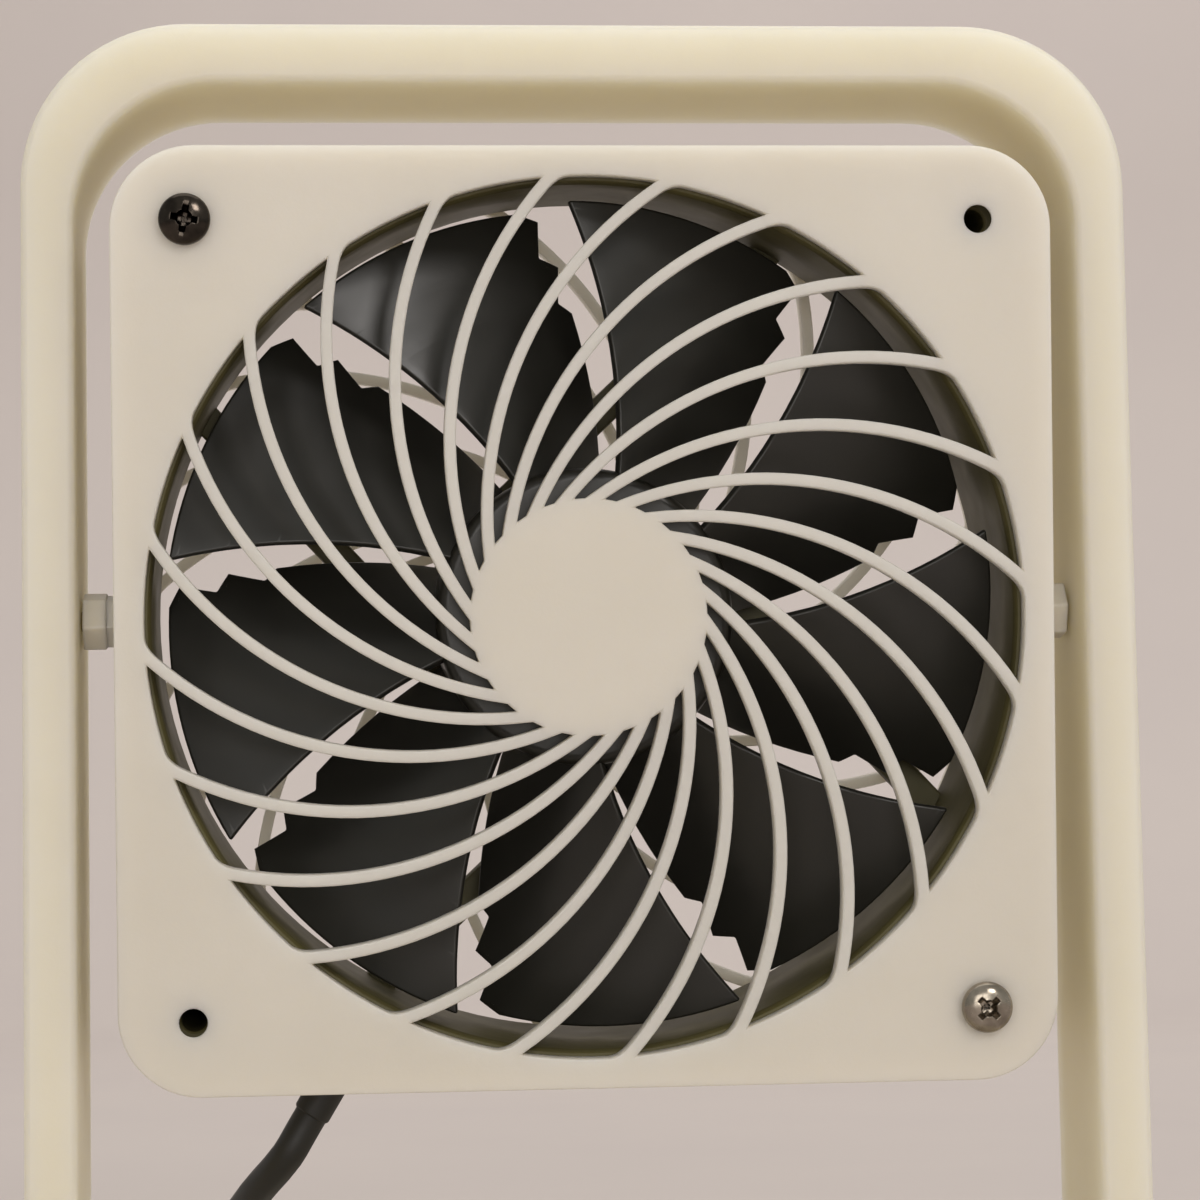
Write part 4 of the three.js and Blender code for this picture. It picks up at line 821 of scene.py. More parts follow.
@dataclass
class PowerLead:
    """The black lead: out of the head, over the back of the base, into a coil and to its plug."""

    radius: float = 2.3
    exit_x: float = -33.8
    exit_y: float = 5.3
    exit_slant: float = 31.0
    shell_half: float = 62.3
    gland_end: float = 6.1636
    coil_centre: Point = (-6.0, 100.0)
    coil_middle_r: float = 27.6
    coil_pitch: float = 5.15
    lower_turns: float = 3.5
    climb_turns: float = 0.5
    upper_turns: float = 3.25
    turn_in: float = 0.8
    coil_height: float = 3.4
    start_angle: float = 180.0
    steps_per_turn: int = 36
    plug_from_coil: Point = (31.0, 33.5)
    plug_size: tuple[float, float, float] = (15.6, 27.0, 8.0)
    shell_size: tuple[float, float, float] = (12.0, 12.0, 4.5)
    shell_wall: float = 0.4
    tie_width: float = 7.0
    tie_thickness: float = 0.6
    tie_angle: float = 140.0
    route: list[Vector] = field(default_factory=list)

    def start(self) -> tuple[Vector, Vector]:
        """Find where the lead leaves the gland, and the way it points there.

        Returns:
            The point and the direction, in millimetres in the part's frame.
        """
        out = Matrix.Rotation(math.radians(self.exit_slant), 3, "Y") @ Vector((0, 0, -1))
        tilt = Matrix.Rotation(math.radians(HEAD_REST_TILT), 3, "X")
        place = Vector((self.exit_x, self.exit_y, -self.shell_half)) + out * (self.gland_end + GAP)
        return tilt @ place + Vector((0, 0, TILT_AXIS_HEIGHT)), tilt @ out

    def coil_point(self, turns: float) -> Vector:
        """Find the centre of the coiled lead at a number of turns from its start.

        Args:
            turns: The turns from its start.

        Returns:
            The point, in millimetres.
        """
        inner = self.coil_middle_r - self.lower_turns / 2 * self.coil_pitch
        climb_end = self.lower_turns + self.climb_turns
        radius, height = inner, self.coil_height
        if turns < self.lower_turns:
            radius = inner + (self.lower_turns - turns) * self.coil_pitch
        elif turns < climb_end:
            share = (turns - self.lower_turns) / self.climb_turns
            height += self.coil_pitch * (0.5 - 0.5 * math.cos(math.pi * share))
            radius -= self.turn_in * math.sin(math.pi * share)
        else:
            radius += (turns - climb_end) * self.coil_pitch
            height += self.coil_pitch
        x, y = polar(radius, self.start_angle - 360 * turns)
        return Vector((self.coil_centre[0] + x, self.coil_centre[1] + y, height))

    def coil_line(self) -> list[Vector]:
        """Give the coil's centre line with its straight ends.

        Returns:
            The points from the table to the top turn.
        """
        turns = self.lower_turns + self.climb_turns + self.upper_turns
        steps = round(turns * self.steps_per_turn)
        points = [self.coil_point(turns * i / steps) for i in range(steps + 1)]
        lead = 2 * self.radius
        first = (points[0] - self.coil_point(0.01)).normalized()
        last = (points[-1] - self.coil_point(turns - 0.01)).normalized()
        return [points[0] + first * lead, *points, points[-1] + last * lead]

    def plug_start(self) -> Vector:
        """Find where the lead enters the plug, which points along +X from there."""
        x, y = (a + b for a, b in zip(self.coil_centre, self.plug_from_coil))
        return Vector((x, y, self.plug_size[2] / 2 + GAP))

    @staticmethod
    def smooth_line(points: Sequence[Vector], steps: int) -> list[Vector]:
        """Run a centripetal Catmull-Rom curve through points.

        Args:
            points: The points that it passes.
            steps: The number of runs between two of them.

        Returns:
            The curve's points.
        """
        ends = [2 * points[0] - points[1], *points, 2 * points[-1] - points[-2]]
        line = []
        for p0, p1, p2, p3 in zip(ends, ends[1:], ends[2:], ends[3:]):
            runs = ((p0, p1), (p1, p2), (p2, p3))
            before, here, after = (max((b - a).length, 1e-4) ** 0.5 for a, b in runs)
            leave = ((p1 - p0) / before - (p2 - p0) / (before + here) + (p2 - p1) / here) * here
            arrive = ((p2 - p1) / here - (p3 - p1) / (here + after) + (p3 - p2) / after) * here
            for share in (i / steps for i in range(steps)):
                square = (3 * (p2 - p1) - 2 * leave - arrive) * share ** 2
                cube = (2 * (p1 - p2) + leave + arrive) * share ** 3
                line.append(p1 + leave * share + square + cube)
        line.append(points[-1].copy())
        return line

    def free_stretch(self, coil: Sequence[Vector]) -> list[Vector]:
        """Lead out of the gland, over the back of the base and along the table to the coil.

        Args:
            coil: The coil's centre line.

        Returns:
            The points from the gland to the coil.
        """
        start, out = self.start()
        into = (coil[1] - coil[0]).normalized()
        waypoints = [(-45.5, 17.5, 33), (-49.5, 28, 26.5), (-51.5, 39, 20.8), (-51.5, 49, 14.8),
                     (-50, 58.5, 8.2), (-47.5, 68, 4.4), (-44.8, 78, self.coil_height)]
        points = [start, start + out * 3, start + out * 7, *(Vector(p) for p in waypoints),
                  coil[0] - into * 4.3]
        return self.smooth_line(points, 3)

    def tail(self, coil: Sequence[Vector]) -> list[Vector]:
        """Lead off the top turn and down into the plug.

        Args:
            coil: The coil's centre line.

        Returns:
            The points from the coil to the plug.
        """
        outward = (coil[-1] - coil[-2]).normalized()
        first = coil[-1] + outward * GAP
        end = self.plug_start() - Vector((GAP, 0, 0))
        middle = first.lerp(end, 0.55)
        points = [first + outward * 3, middle, end - Vector((4, 0, 0)), self.plug_start()]
        return self.smooth_line(points, 4)

    def jacket(self, dresser: Dresser, finishes: Finishes, carried: Sequence[Piece]) -> None:
        """Args:
            dresser: Makes the piece.
            finishes: The materials.
            carried: The pieces on the lead; not used.
        """
        coil = self.coil_line()
        self.route = [*self.free_stretch(coil), *coil, *self.tail(coil)]
        curve = bpy.data.curves.new("lead_line", "CURVE")
        curve.dimensions = "3D"
        curve.bevel_depth = self.radius
        curve.bevel_resolution = 4
        curve.use_fill_caps = True
        curve.twist_mode = "MINIMUM"
        spline = curve.splines.new("POLY")
        spline.points.add(len(self.route) - 1)
        for knot, place in zip(spline.points, self.route):
            knot.co = (*place, 1.0)
        carrier = bpy.data.objects.new("lead_line", curve)
        bm = bmesh.new()
        bm.from_mesh(bpy.data.meshes.new_from_object(carrier))
        bpy.data.objects.remove(carrier)
        bmesh.ops.remove_doubles(bm, verts=bm.verts, dist=1e-3)
        lead = dresser.piece("power_lead", bm, finishes.jacket, None, "black_rubber",
                             nodes=("power_cord", "cord_coil", "cord_tail"), smooth_below=60)
        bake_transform(lead)

    def plug(self, dresser: Dresser, finishes: Finishes) -> list[Piece]:
        """Make the moulded plug body with its grip ribs, and its pressed shell.

        Args:
            dresser: Makes the pieces.
            finishes: The materials.

        Returns:
            The plug's pieces.
        """
        width, length, height = self.plug_size
        body = extruded(rounded_rectangle(width / 2, height / 2, 2.4, 8), -length, 0)
        grooves = together(*(box((width + 2, 0.9, 1.2), (0, -7.0 - 2.0 * i, side * (height / 2 + 0.25)))
                             for i in range(5) for side in (-1, 1)))
        body = rounded(carved(body, grooves), 0.35, 2)
        place = TO_STAND @ Matrix.Translation(self.plug_start()) @ turn(90, "Z")
        grip = dresser.piece("plug_grip", body, finishes.jacket, Body.STAND, "black_rubber", place,
                             ("plug_body",))
        width, depth, height = self.shell_size
        rear = -length - GAP
        front = rear - depth
        shell = extruded(rounded_rectangle(width / 2, height / 2, 0.6, 5), front, rear)
        inside = rounded_rectangle(width / 2 - self.shell_wall, height / 2 - self.shell_wall, 0.3, 3)
        hollow = extruded(inside, front - 1, rear - 1)
        windows = together(*(box((2.2, 2.4, 8), (side * 2.4, front + 5.4, 0)) for side in (-1, 1)))
        shell = carved(carved(shell, hollow), windows)
        metal = dresser.piece("plug_metal_shell", rounded(shell, 0.08, 1), finishes.nickel, Body.STAND,
                              "nickel", place, ("plug_shell",))
        tongue = rounded(box((width - 1.6, depth - 1.4, 1.7), (0, (front + rear) / 2 + 0.2, 0.9)), 0.1, 1)
        insulator = dresser.piece("plug_tongue", tongue, finishes.jacket, Body.STAND, "black_rubber", place)
        return [grip, metal, insulator]

    def tie(self, dresser: Dresser, finishes: Finishes) -> Piece:
        """Wrap the coil's turns in a strip of hook-and-loop tape.

        Args:
            dresser: Makes the pieces.
            finishes: The materials.

        Returns:
            The tie.
        """
        half_turns = self.lower_turns / 2 * self.coil_pitch
        inner = self.coil_middle_r - half_turns - self.radius - GAP
        outer = self.coil_middle_r + half_turns + self.radius + GAP
        low = self.coil_height - self.radius - GAP
        high = self.coil_height + self.coil_pitch + self.radius + GAP
        half_w, half_h = (outer - inner) / 2 + 0.4, (high - low) / 2
        wrap = extruded(rounded_rectangle(half_w + self.tie_thickness, half_h + self.tie_thickness, 2.6, 8),
                        -self.tie_width / 2, self.tie_width / 2, [rounded_rectangle(half_w, half_h, 2.0, 8)])
        place = (TO_STAND @ at(*self.coil_centre, 0) @ turn(self.tie_angle, "Z")
                 @ at((inner + outer) / 2, 0, (low + high) / 2))
        return dresser.piece("tie_wrap", rounded(wrap, 0.15, 2), finishes.loop_tape, Body.STAND,
                             "black_rubber", place, ("coil_tie",))

    def gland(self, dresser: Dresser, finishes: Finishes) -> None:
        """Make the strain relief: a collar inside the wall and a slim boot that holds the lead.

        Args:
            dresser: Makes the pieces.
            finishes: The materials.
        """
        end = -self.gland_end
        socket = self.radius + 0.06
        relief = revolved([
            (1.15, 2.8), (3.3, 2.8), (3.3, 1.2), (2.6, 0.8), (2.6, end - 0.5), (2.45, end - 0.8),
            (socket, end - 0.8), (socket, end), (1.15, end),
        ], 40)
        place = TO_HEAD @ at(self.exit_x, self.exit_y, -self.shell_half) @ turn(self.exit_slant, "Y") \
            @ turn(90, "X")
        dresser.piece("cord_strain_relief", rounded(relief, 0.08, 1), finishes.jacket, Body.HEAD,
                      "black_rubber", place, ("cord_gland",))


# ---------------------------------------------------------------- screws


@dataclass
class PanHeadScrew:
    """A pan-head machine screw drawn along Y with its head towards -Y and its seat at 0."""

    head_r: float
    head_height: float
    shank_r: float
    length: float
    drive: Drive = Drive.CROSS
    thread_pitch: float = 0.7
    thread_depth: float = 0.18
    wing_length: float = 1.24
    wing_width: float = 0.27
    wing_foot: float = 0.42
    wing_depth: float = 0.9
    cutter_rise: float = 0.4

    def wing(self) -> BMesh:
        """Make the cutter for one wing of the drive: a bar that narrows from the head's face to its foot.

        Returns:
            The cutter.
        """
        deep, rise = self.wing_depth * self.head_height, self.cutter_rise
        blade = box((self.wing_length * self.head_r, deep + rise, self.wing_width * self.head_r),
                    (0, -self.head_height + (deep - rise) / 2, 0))
        for vert in blade.verts:
            if vert.co.y > -self.head_height:
                vert.co.x *= self.wing_foot
                vert.co.z *= 0.5 + 0.5 * self.wing_foot
        return blade

    def recess(self) -> list[BMesh]:
        """Make the cutters for the drive: two tapered wings, a pointed pit and a slot where there is one.

        Returns:
            The cutters.
        """
        top, head = -self.head_height, self.head_r
        cutters = [placed(self.wing(), turn(angle, "Y")) for angle in (0, 90)]
        cutters.append(revolved([(0, top - self.cutter_rise), (0.34 * head, top - self.cutter_rise),
                                 (0.34 * head, top), (0.12 * head, -0.1), (0, 0.1)], 20))
        if self.drive is Drive.CROSS_AND_SLOT:
            cutters.append(box((0.2 * head, 1.3, 2.4 * head), (0, top - 0.1, 0)))
        return cutters

    def mesh(self) -> BMesh:
        """Make the screw: a domed head with its recess, and a shank with its thread as fine rings.

        Returns:
            A closed mesh.
        """
        height, head = self.head_height, self.head_r
        dome = [(head * math.sin(a), -height * (0.35 + 0.65 * math.cos(a))) for a in
                (math.radians(d) for d in range(0, 91, 10))]
        dome[0] = (0.0, -height)
        profile = [*dome, (head, -0.12), (head - 0.12, 0.0), (self.shank_r, 0.0)]
        y = self.thread_pitch
        while y < self.length - self.shank_r - self.thread_pitch:
            profile += [(self.shank_r, y), (self.shank_r - self.thread_depth, y + self.thread_pitch / 2)]
            y += self.thread_pitch
        profile += [(self.shank_r, y), (self.shank_r * 0.7, self.length - 0.3), (0.0, self.length)]
        screw = revolved(profile, 48)
        for cutter in self.recess():
            screw = carved(screw, cutter)
        return rounded(screw, 0.06, 2, 48)


# ---------------------------------------------------------------- head


@dataclass
class SpiralShell:
    """One moulded half of the head's housing, with its spiral grille on -Y."""

    half: float = 62.3
    corner_r: float = 11.0
    wall: float = 2.0
    half_depth: float = 17.3
    face: float = 3.2
    standoff: float = 1.3
    opening_r: float = 58.4
    disc_r: float = 15.7
    ribs: int = 24
    rib_width: float = 1.57
    rib_arc_r: float = 52.0
    rib_centre_r: float = 41.0
    first_centre_angle: float = -55.7
    fillet_r: float = 1.3
    screw_pitch: float = 105.0
    screw_hole_r: float = 1.8
    hole_flare: float = 1.0
    edge_round: float = 0.27

    def rib_side(self, index: int, arc_r: float, first_r: float, last_r: float, steps: int) -> list[Point]:
        """Follow one side of a rib between two radii.

        Args:
            index: The rib's number.
            arc_r: The radius of that side's arc.
            first_r: Where to start, from the fan's axis.
            last_r: Where to end.
            steps: The number of straight runs.

        Returns:
            The points.
        """
        centre_angle = self.first_centre_angle + 360 / self.ribs * index
        points = []
        for i in range(steps + 1):
            radius = first_r + (last_r - first_r) * i / steps
            cosine = (self.rib_centre_r ** 2 + radius ** 2 - arc_r ** 2) / (2 * self.rib_centre_r * radius)
            points.append(polar(radius, centre_angle + math.degrees(math.acos(max(-1, min(1, cosine))))))
        return points

    def window(self, index: int) -> list[Point]:
        """Outline one window: up a rib, round the rim, past the fillet and back down the next rib.

        Args:
            index: The window's number.

        Returns:
            Its points in order.
        """
        half_rib = self.rib_width / 2
        inner_arc, fillet_end = self.rib_arc_r - half_rib, self.opening_r - self.fillet_r
        rising = self.rib_side(index, self.rib_arc_r + half_rib, self.disc_r, self.opening_r, 26)
        falling = self.rib_side(index + 1, inner_arc, fillet_end, self.disc_r, 26)
        meeting = self.rib_side(index + 1, inner_arc, self.opening_r, fillet_end, 1)[0]
        start, end = (math.degrees(math.atan2(p[1], p[0])) for p in (rising[-1], meeting))
        span = (end - start) % 360 - math.degrees(self.fillet_r / self.opening_r)
        rim = [polar(self.opening_r, start + span * i / 6) for i in range(1, 7)]
        turning = [self.bent(rim[-1], meeting, falling[0], share) for share in (0.25, 0.5, 0.75)]
        low = math.degrees(math.atan2(falling[-1][1], falling[-1][0]))
        high = math.degrees(math.atan2(rising[0][1], rising[0][0]))
        drop = (low - high) % 360
        root = [polar(self.disc_r, low - drop * i / 3) for i in (1, 2)]
        return [*rising, *rim, *turning, *falling, *root]

    @staticmethod
    def bent(first: Point, corner: Point, last: Point, share: float) -> Point:
        """Give a point on the curve that cuts a corner."""
        a, b, c = (1 - share) ** 2, 2 * share * (1 - share), share ** 2
        return (a * first[0] + b * corner[0] + c * last[0], a * first[1] + b * corner[1] + c * last[1])

    def corners(self) -> list[Point]:
        """Give the four screw places."""
        reach = self.screw_pitch / 2
        return [(x, z) for x in (-reach, reach) for z in (-reach, reach)]

    def mesh(self) -> BMesh:
        """Make the shell: a pierced face, a skirt, a lip round the opening and four bosses.

        Returns:
            A closed mesh.
        """
        front = -self.half_depth
        back = front + self.face
        outline = rounded_rectangle(self.half, self.half, self.corner_r, 16)
        inner = rounded_rectangle(self.half - self.wall, self.half - self.wall, self.corner_r - self.wall, 16)
        bm = bmesh.new()
        outside, inside = loop_edges(bm, outline), loop_edges(bm, inner)
        holes = [self.window(i) for i in range(self.ribs)]
        holes += [circle(self.screw_hole_r, 24, corner) for corner in self.corners()]
        pierced = [edge for line in holes for edge in loop_edges(bm, line)]
        for edges in (outside + inside, inside + pierced):
            bmesh.ops.triangle_fill(bm, edges=edges, use_beauty=True, use_dissolve=False, normal=(0, -1, 0))
        bmesh.ops.translate(bm, verts=bm.verts, vec=(0, front, 0))
        grown = bmesh.ops.extrude_face_region(bm, geom=bm.faces[:])
        top = [g for g in grown["geom"] if isinstance(g, bmesh.types.BMVert)]
        bmesh.ops.translate(bm, verts=top, vec=(0, self.face, 0))
        self.flare(top)
        bmesh.ops.recalc_face_normals(bm, faces=bm.faces)
        reach = self.half - self.wall
        skirt = [f for f in bm.faces if f.normal.y > 0.9 and all(self.outside(v.co, reach) for v in f.verts)]
        grown = bmesh.ops.extrude_face_region(bm, geom=skirt)
        bmesh.ops.delete(bm, geom=skirt, context="FACES")
        rim = [g for g in grown["geom"] if isinstance(g, bmesh.types.BMVert)]
        bmesh.ops.translate(bm, verts=rim, vec=(0, -GAP / 2 - back, 0))
        bmesh.ops.dissolve_limit(bm, angle_limit=0.002, verts=bm.verts, edges=bm.edges)
        rounded(bm, self.edge_round, 2, 60)
        seat = back + self.standoff
        lip = extruded(circle(self.half - self.wall + 0.4, 96), back - 0.6, seat,
                       [circle(self.opening_r + 1.0, 96)])
        bosses = [placed(tube(4.0, self.screw_hole_r + self.hole_flare, back - 0.6, seat, 32), at(x, 0, z))
                  for x, z in self.corners()]
        return together(bm, lip, *bosses)

    def flare(self, verts: Sequence[bmesh.types.BMVert]) -> None:
        """Widen the screw holes towards the inside, so that their walls stay out of sight.

        Args:
            verts: The vertices of the face's rear.
        """
        for vert in verts:
            for x, z in self.corners():
                out = Vector((vert.co.x - x, 0.0, vert.co.z - z))
                if out.length < self.screw_hole_r + 0.1:
                    vert.co += out.normalized() * self.hole_flare

    def outside(self, place: Vector, reach: float) -> bool:
        """Tell whether a point lies in the skirt's wall.

        Args:
            place: The point.
            reach: Half the width inside the skirt.

        Returns:
            Whether it does.
        """
        straight = reach - (self.corner_r - self.wall)
        dx, dz = max(abs(place.x) - straight, 0.0), max(abs(place.z) - straight, 0.0)
        return math.hypot(dx, dz) > self.corner_r - self.wall - 1e-3


@dataclass
class FanFrame:
    """The fan's own frame: round duct between two square flanges, four straight struts and the motor cup."""

    width: float = 120.0
    depth: float = 25.0
    flange: float = 3.6
    corner_r: float = 8.7
    duct_r: float = 57.6
    duct_wall: float = 1.45
    duct_stand: float = 1.3
    post_r: float = 4.6
    screw_pitch: float = 105.0
    hole_r: float = 1.8
    strut_width: float = 4.2
    strut_depth: float = 3.6
    strut_angle: float = 43.2
    strut_inset: float = 2.6
    cup_r: float = 20.6
    cup_floor: float = 1.8
    cup_depth: float = 5.0

    def strut(self, index: int) -> BMesh:
        """Make one strut: a straight bar that leaves the cup along its edge and ends in the duct.

        Args:
            index: The strut's number.

        Returns:
            A closed mesh.
        """
        inner, outer = self.cup_r - 1, self.duct_r + self.duct_wall / 2
        middle, half = self.cup_r - self.strut_inset, self.strut_width / 2
        low, high = middle - half, middle + half
        corners = [(low, inner), (low, outer), (high, outer), (high, inner)]
        outline = [(math.sqrt(max(0.0, radius ** 2 - offset ** 2)), offset) for offset, radius in corners]
        bar = rounded(extruded(outline, self.depth / 2 - self.strut_depth, self.depth / 2), 0.5, 2)
        return placed(bar, turn(-self.strut_angle - 90 * index, "Y"))

    def mesh(self) -> BMesh:
        """Make the frame.

        Returns:
            A closed mesh.
        """
        half = self.depth / 2
        corners = [(x * self.screw_pitch / 2, z * self.screw_pitch / 2) for x in (-1, 1) for z in (-1, 1)]
        holes = [circle(self.duct_r + 0.7, 96)] + [circle(self.hole_r, 24, c) for c in corners]
        square = rounded_rectangle(self.width / 2, self.width / 2, self.corner_r, 10)
        flanges = [rounded(extruded(square, -half + 0.05, -half + self.flange, holes), 0.25, 1),
                   rounded(extruded(square, half - self.flange, half - 0.05, holes), 0.25, 1)]
        outer = self.duct_r + self.duct_wall
        mouth = -half - self.duct_stand
        duct = revolved([(self.duct_r + 0.5, mouth), (outer, mouth), (outer, half), (self.duct_r + 0.5, half),
                         (self.duct_r, half - 0.8), (self.duct_r, mouth + 0.8)], 128)
        posts = [placed(tube(self.post_r, self.hole_r, -half + 0.4, half - 0.4, 32), at(x, 0, z))
                 for x, z in corners]
        floor = half - self.cup_floor
        wall = self.cup_r - 1.8
        cup = revolved([(0, half), (0, floor), (wall, floor), (wall, half - self.cup_depth),
                        (self.cup_r, half - self.cup_depth), (self.cup_r, half - 0.7),
                        (self.cup_r - 0.7, half)], 72)
        return together(*flanges, duct, *posts, cup, *(self.strut(i) for i in range(4)))


@dataclass
class Impeller:
    """Nine swept blades with stepped trailing edges on a cupped hub."""

    blades: int = 9
    tip_r: float = 55.9
    chord_angle: float = 35.2
    root_angle: float = 2.6
    sweep_per_mm: float = 0.39
    root_height: float = 15.0
    tip_height: float = 12.4
    camber: float = 0.35
    root_thickness: float = 1.9
    tip_thickness: float = 1.1
    front_setback: float = 3.6
    fan_front: float = -12.5
    notches: int = 3
    notch_first_r: float = 41.8
    notch_pitch: float = 6.4
    notch_rise: float = 1.3
    notch_fall: float = 1.5
    hub_r: float = 20.0
    hub_wall: float = 1.6
    hub_edge_r: float = 1.6
    hub_setback: float = 2.0
    hub_height: float = 17.0

    def notched(self, radius: float) -> float:
        """Give the radius whose trailing edge a stepped edge shows at a radius.

        Args:
            radius: How far out, from the fan's axis.

        Returns:
            The radius.
        """
        past = radius - self.notch_first_r
        if past <= 0:
            return radius
        step = math.floor(past / self.notch_pitch)
        inside = past - step * self.notch_pitch
        high = (step + 1) * self.notch_pitch
        if inside < self.notch_rise:
            low = step * self.notch_pitch - min(1, step) * self.notch_fall
            return self.notch_first_r + low + (high - low) * inside / self.notch_rise
        flat = self.notch_pitch - self.notch_rise
        return self.notch_first_r + high - self.notch_fall * (inside - self.notch_rise) / flat

    def stations(self) -> list[float]:
        """Give the radii at which a blade is drawn.

        Returns:
            The radii, from the hub to the tip.
        """
        first = self.hub_r - self.hub_wall / 2
        radii = [first + (self.notch_first_r - first) * i / 8 for i in range(9)]
        for notch in range(self.notches):
            start = self.notch_first_r + notch * self.notch_pitch
            for share in (0.02, 0.35, 0.7, 1.0):
                radii.append(start + self.notch_rise * share)
            flat = self.notch_pitch - self.notch_rise
            radii += [start + self.notch_rise + flat * share for share in (0.33, 0.66, 1.0)]
        return [r for r in radii if r < self.tip_r - 0.3] + [self.tip_r]

    def blade(self) -> BMesh:
        """Make one blade from a grid bent to its swept, cambered form and given its thickness.

        Returns:
            A closed mesh.
        """
        radii = self.stations()
        steps = 16
        bm = bmesh.new()
        bmesh.ops.create_grid(bm, x_segments=len(radii) - 1, y_segments=steps, size=0.5)
        for vert in bm.verts:
            radius = radii[round((vert.co.x + 0.5) * (len(radii) - 1))]
            along = vert.co.y + 0.5
            share = max(0.0, min(1.0, (radius - self.hub_r) / (self.tip_r - self.hub_r)))
            leading = self.root_angle + self.chord_angle + self.sweep_per_mm * (radius - self.hub_r)
            trailing = self.root_angle + self.sweep_per_mm * (self.notched(radius) - self.hub_r)
            height = self.root_height + (self.tip_height - self.root_height) * share
            first = self.fan_front + self.front_setback + (self.root_height - height) / 2
            chord = 1 - (leading - trailing) / self.chord_angle * (1 - along)
            rise = chord + self.camber * chord * (1 - chord)
            x, z = polar(radius, trailing + (leading - trailing) * along)
            vert.co = (x, first + height * (1 - rise), z)
        bmesh.ops.recalc_face_normals(bm, faces=bm.faces)
        bmesh.ops.solidify(bm, geom=bm.faces[:], thickness=1.2)
        bmesh.ops.recalc_face_normals(bm, faces=bm.faces)
        return rounded(bm, 0.3, 2, 60)

    def mesh(self) -> BMesh:
        """Make the hub and set the blades round it.

        Returns:
            A closed mesh.
        """
        front = self.fan_front + self.hub_setback
        inner = self.hub_r - self.hub_wall
        turn_r = self.hub_edge_r
        edge = [(self.hub_r - turn_r + polar(turn_r, a)[0], front + turn_r - polar(turn_r, a)[1])
                for a in (90, 70, 50, 30, 10, 0)]
        hub = revolved([(0, front + 0.2), (3.4, front + 0.2), (3.6, front), *edge,
                        (self.hub_r, front + self.hub_height), (inner, front + self.hub_height),
                        (inner, front + self.hub_wall), (0, front + self.hub_wall)], 96)
        blades = [placed(self.blade(), turn(-360 / self.blades * i, "Y")) for i in range(self.blades)]
        return together(hub, *blades)


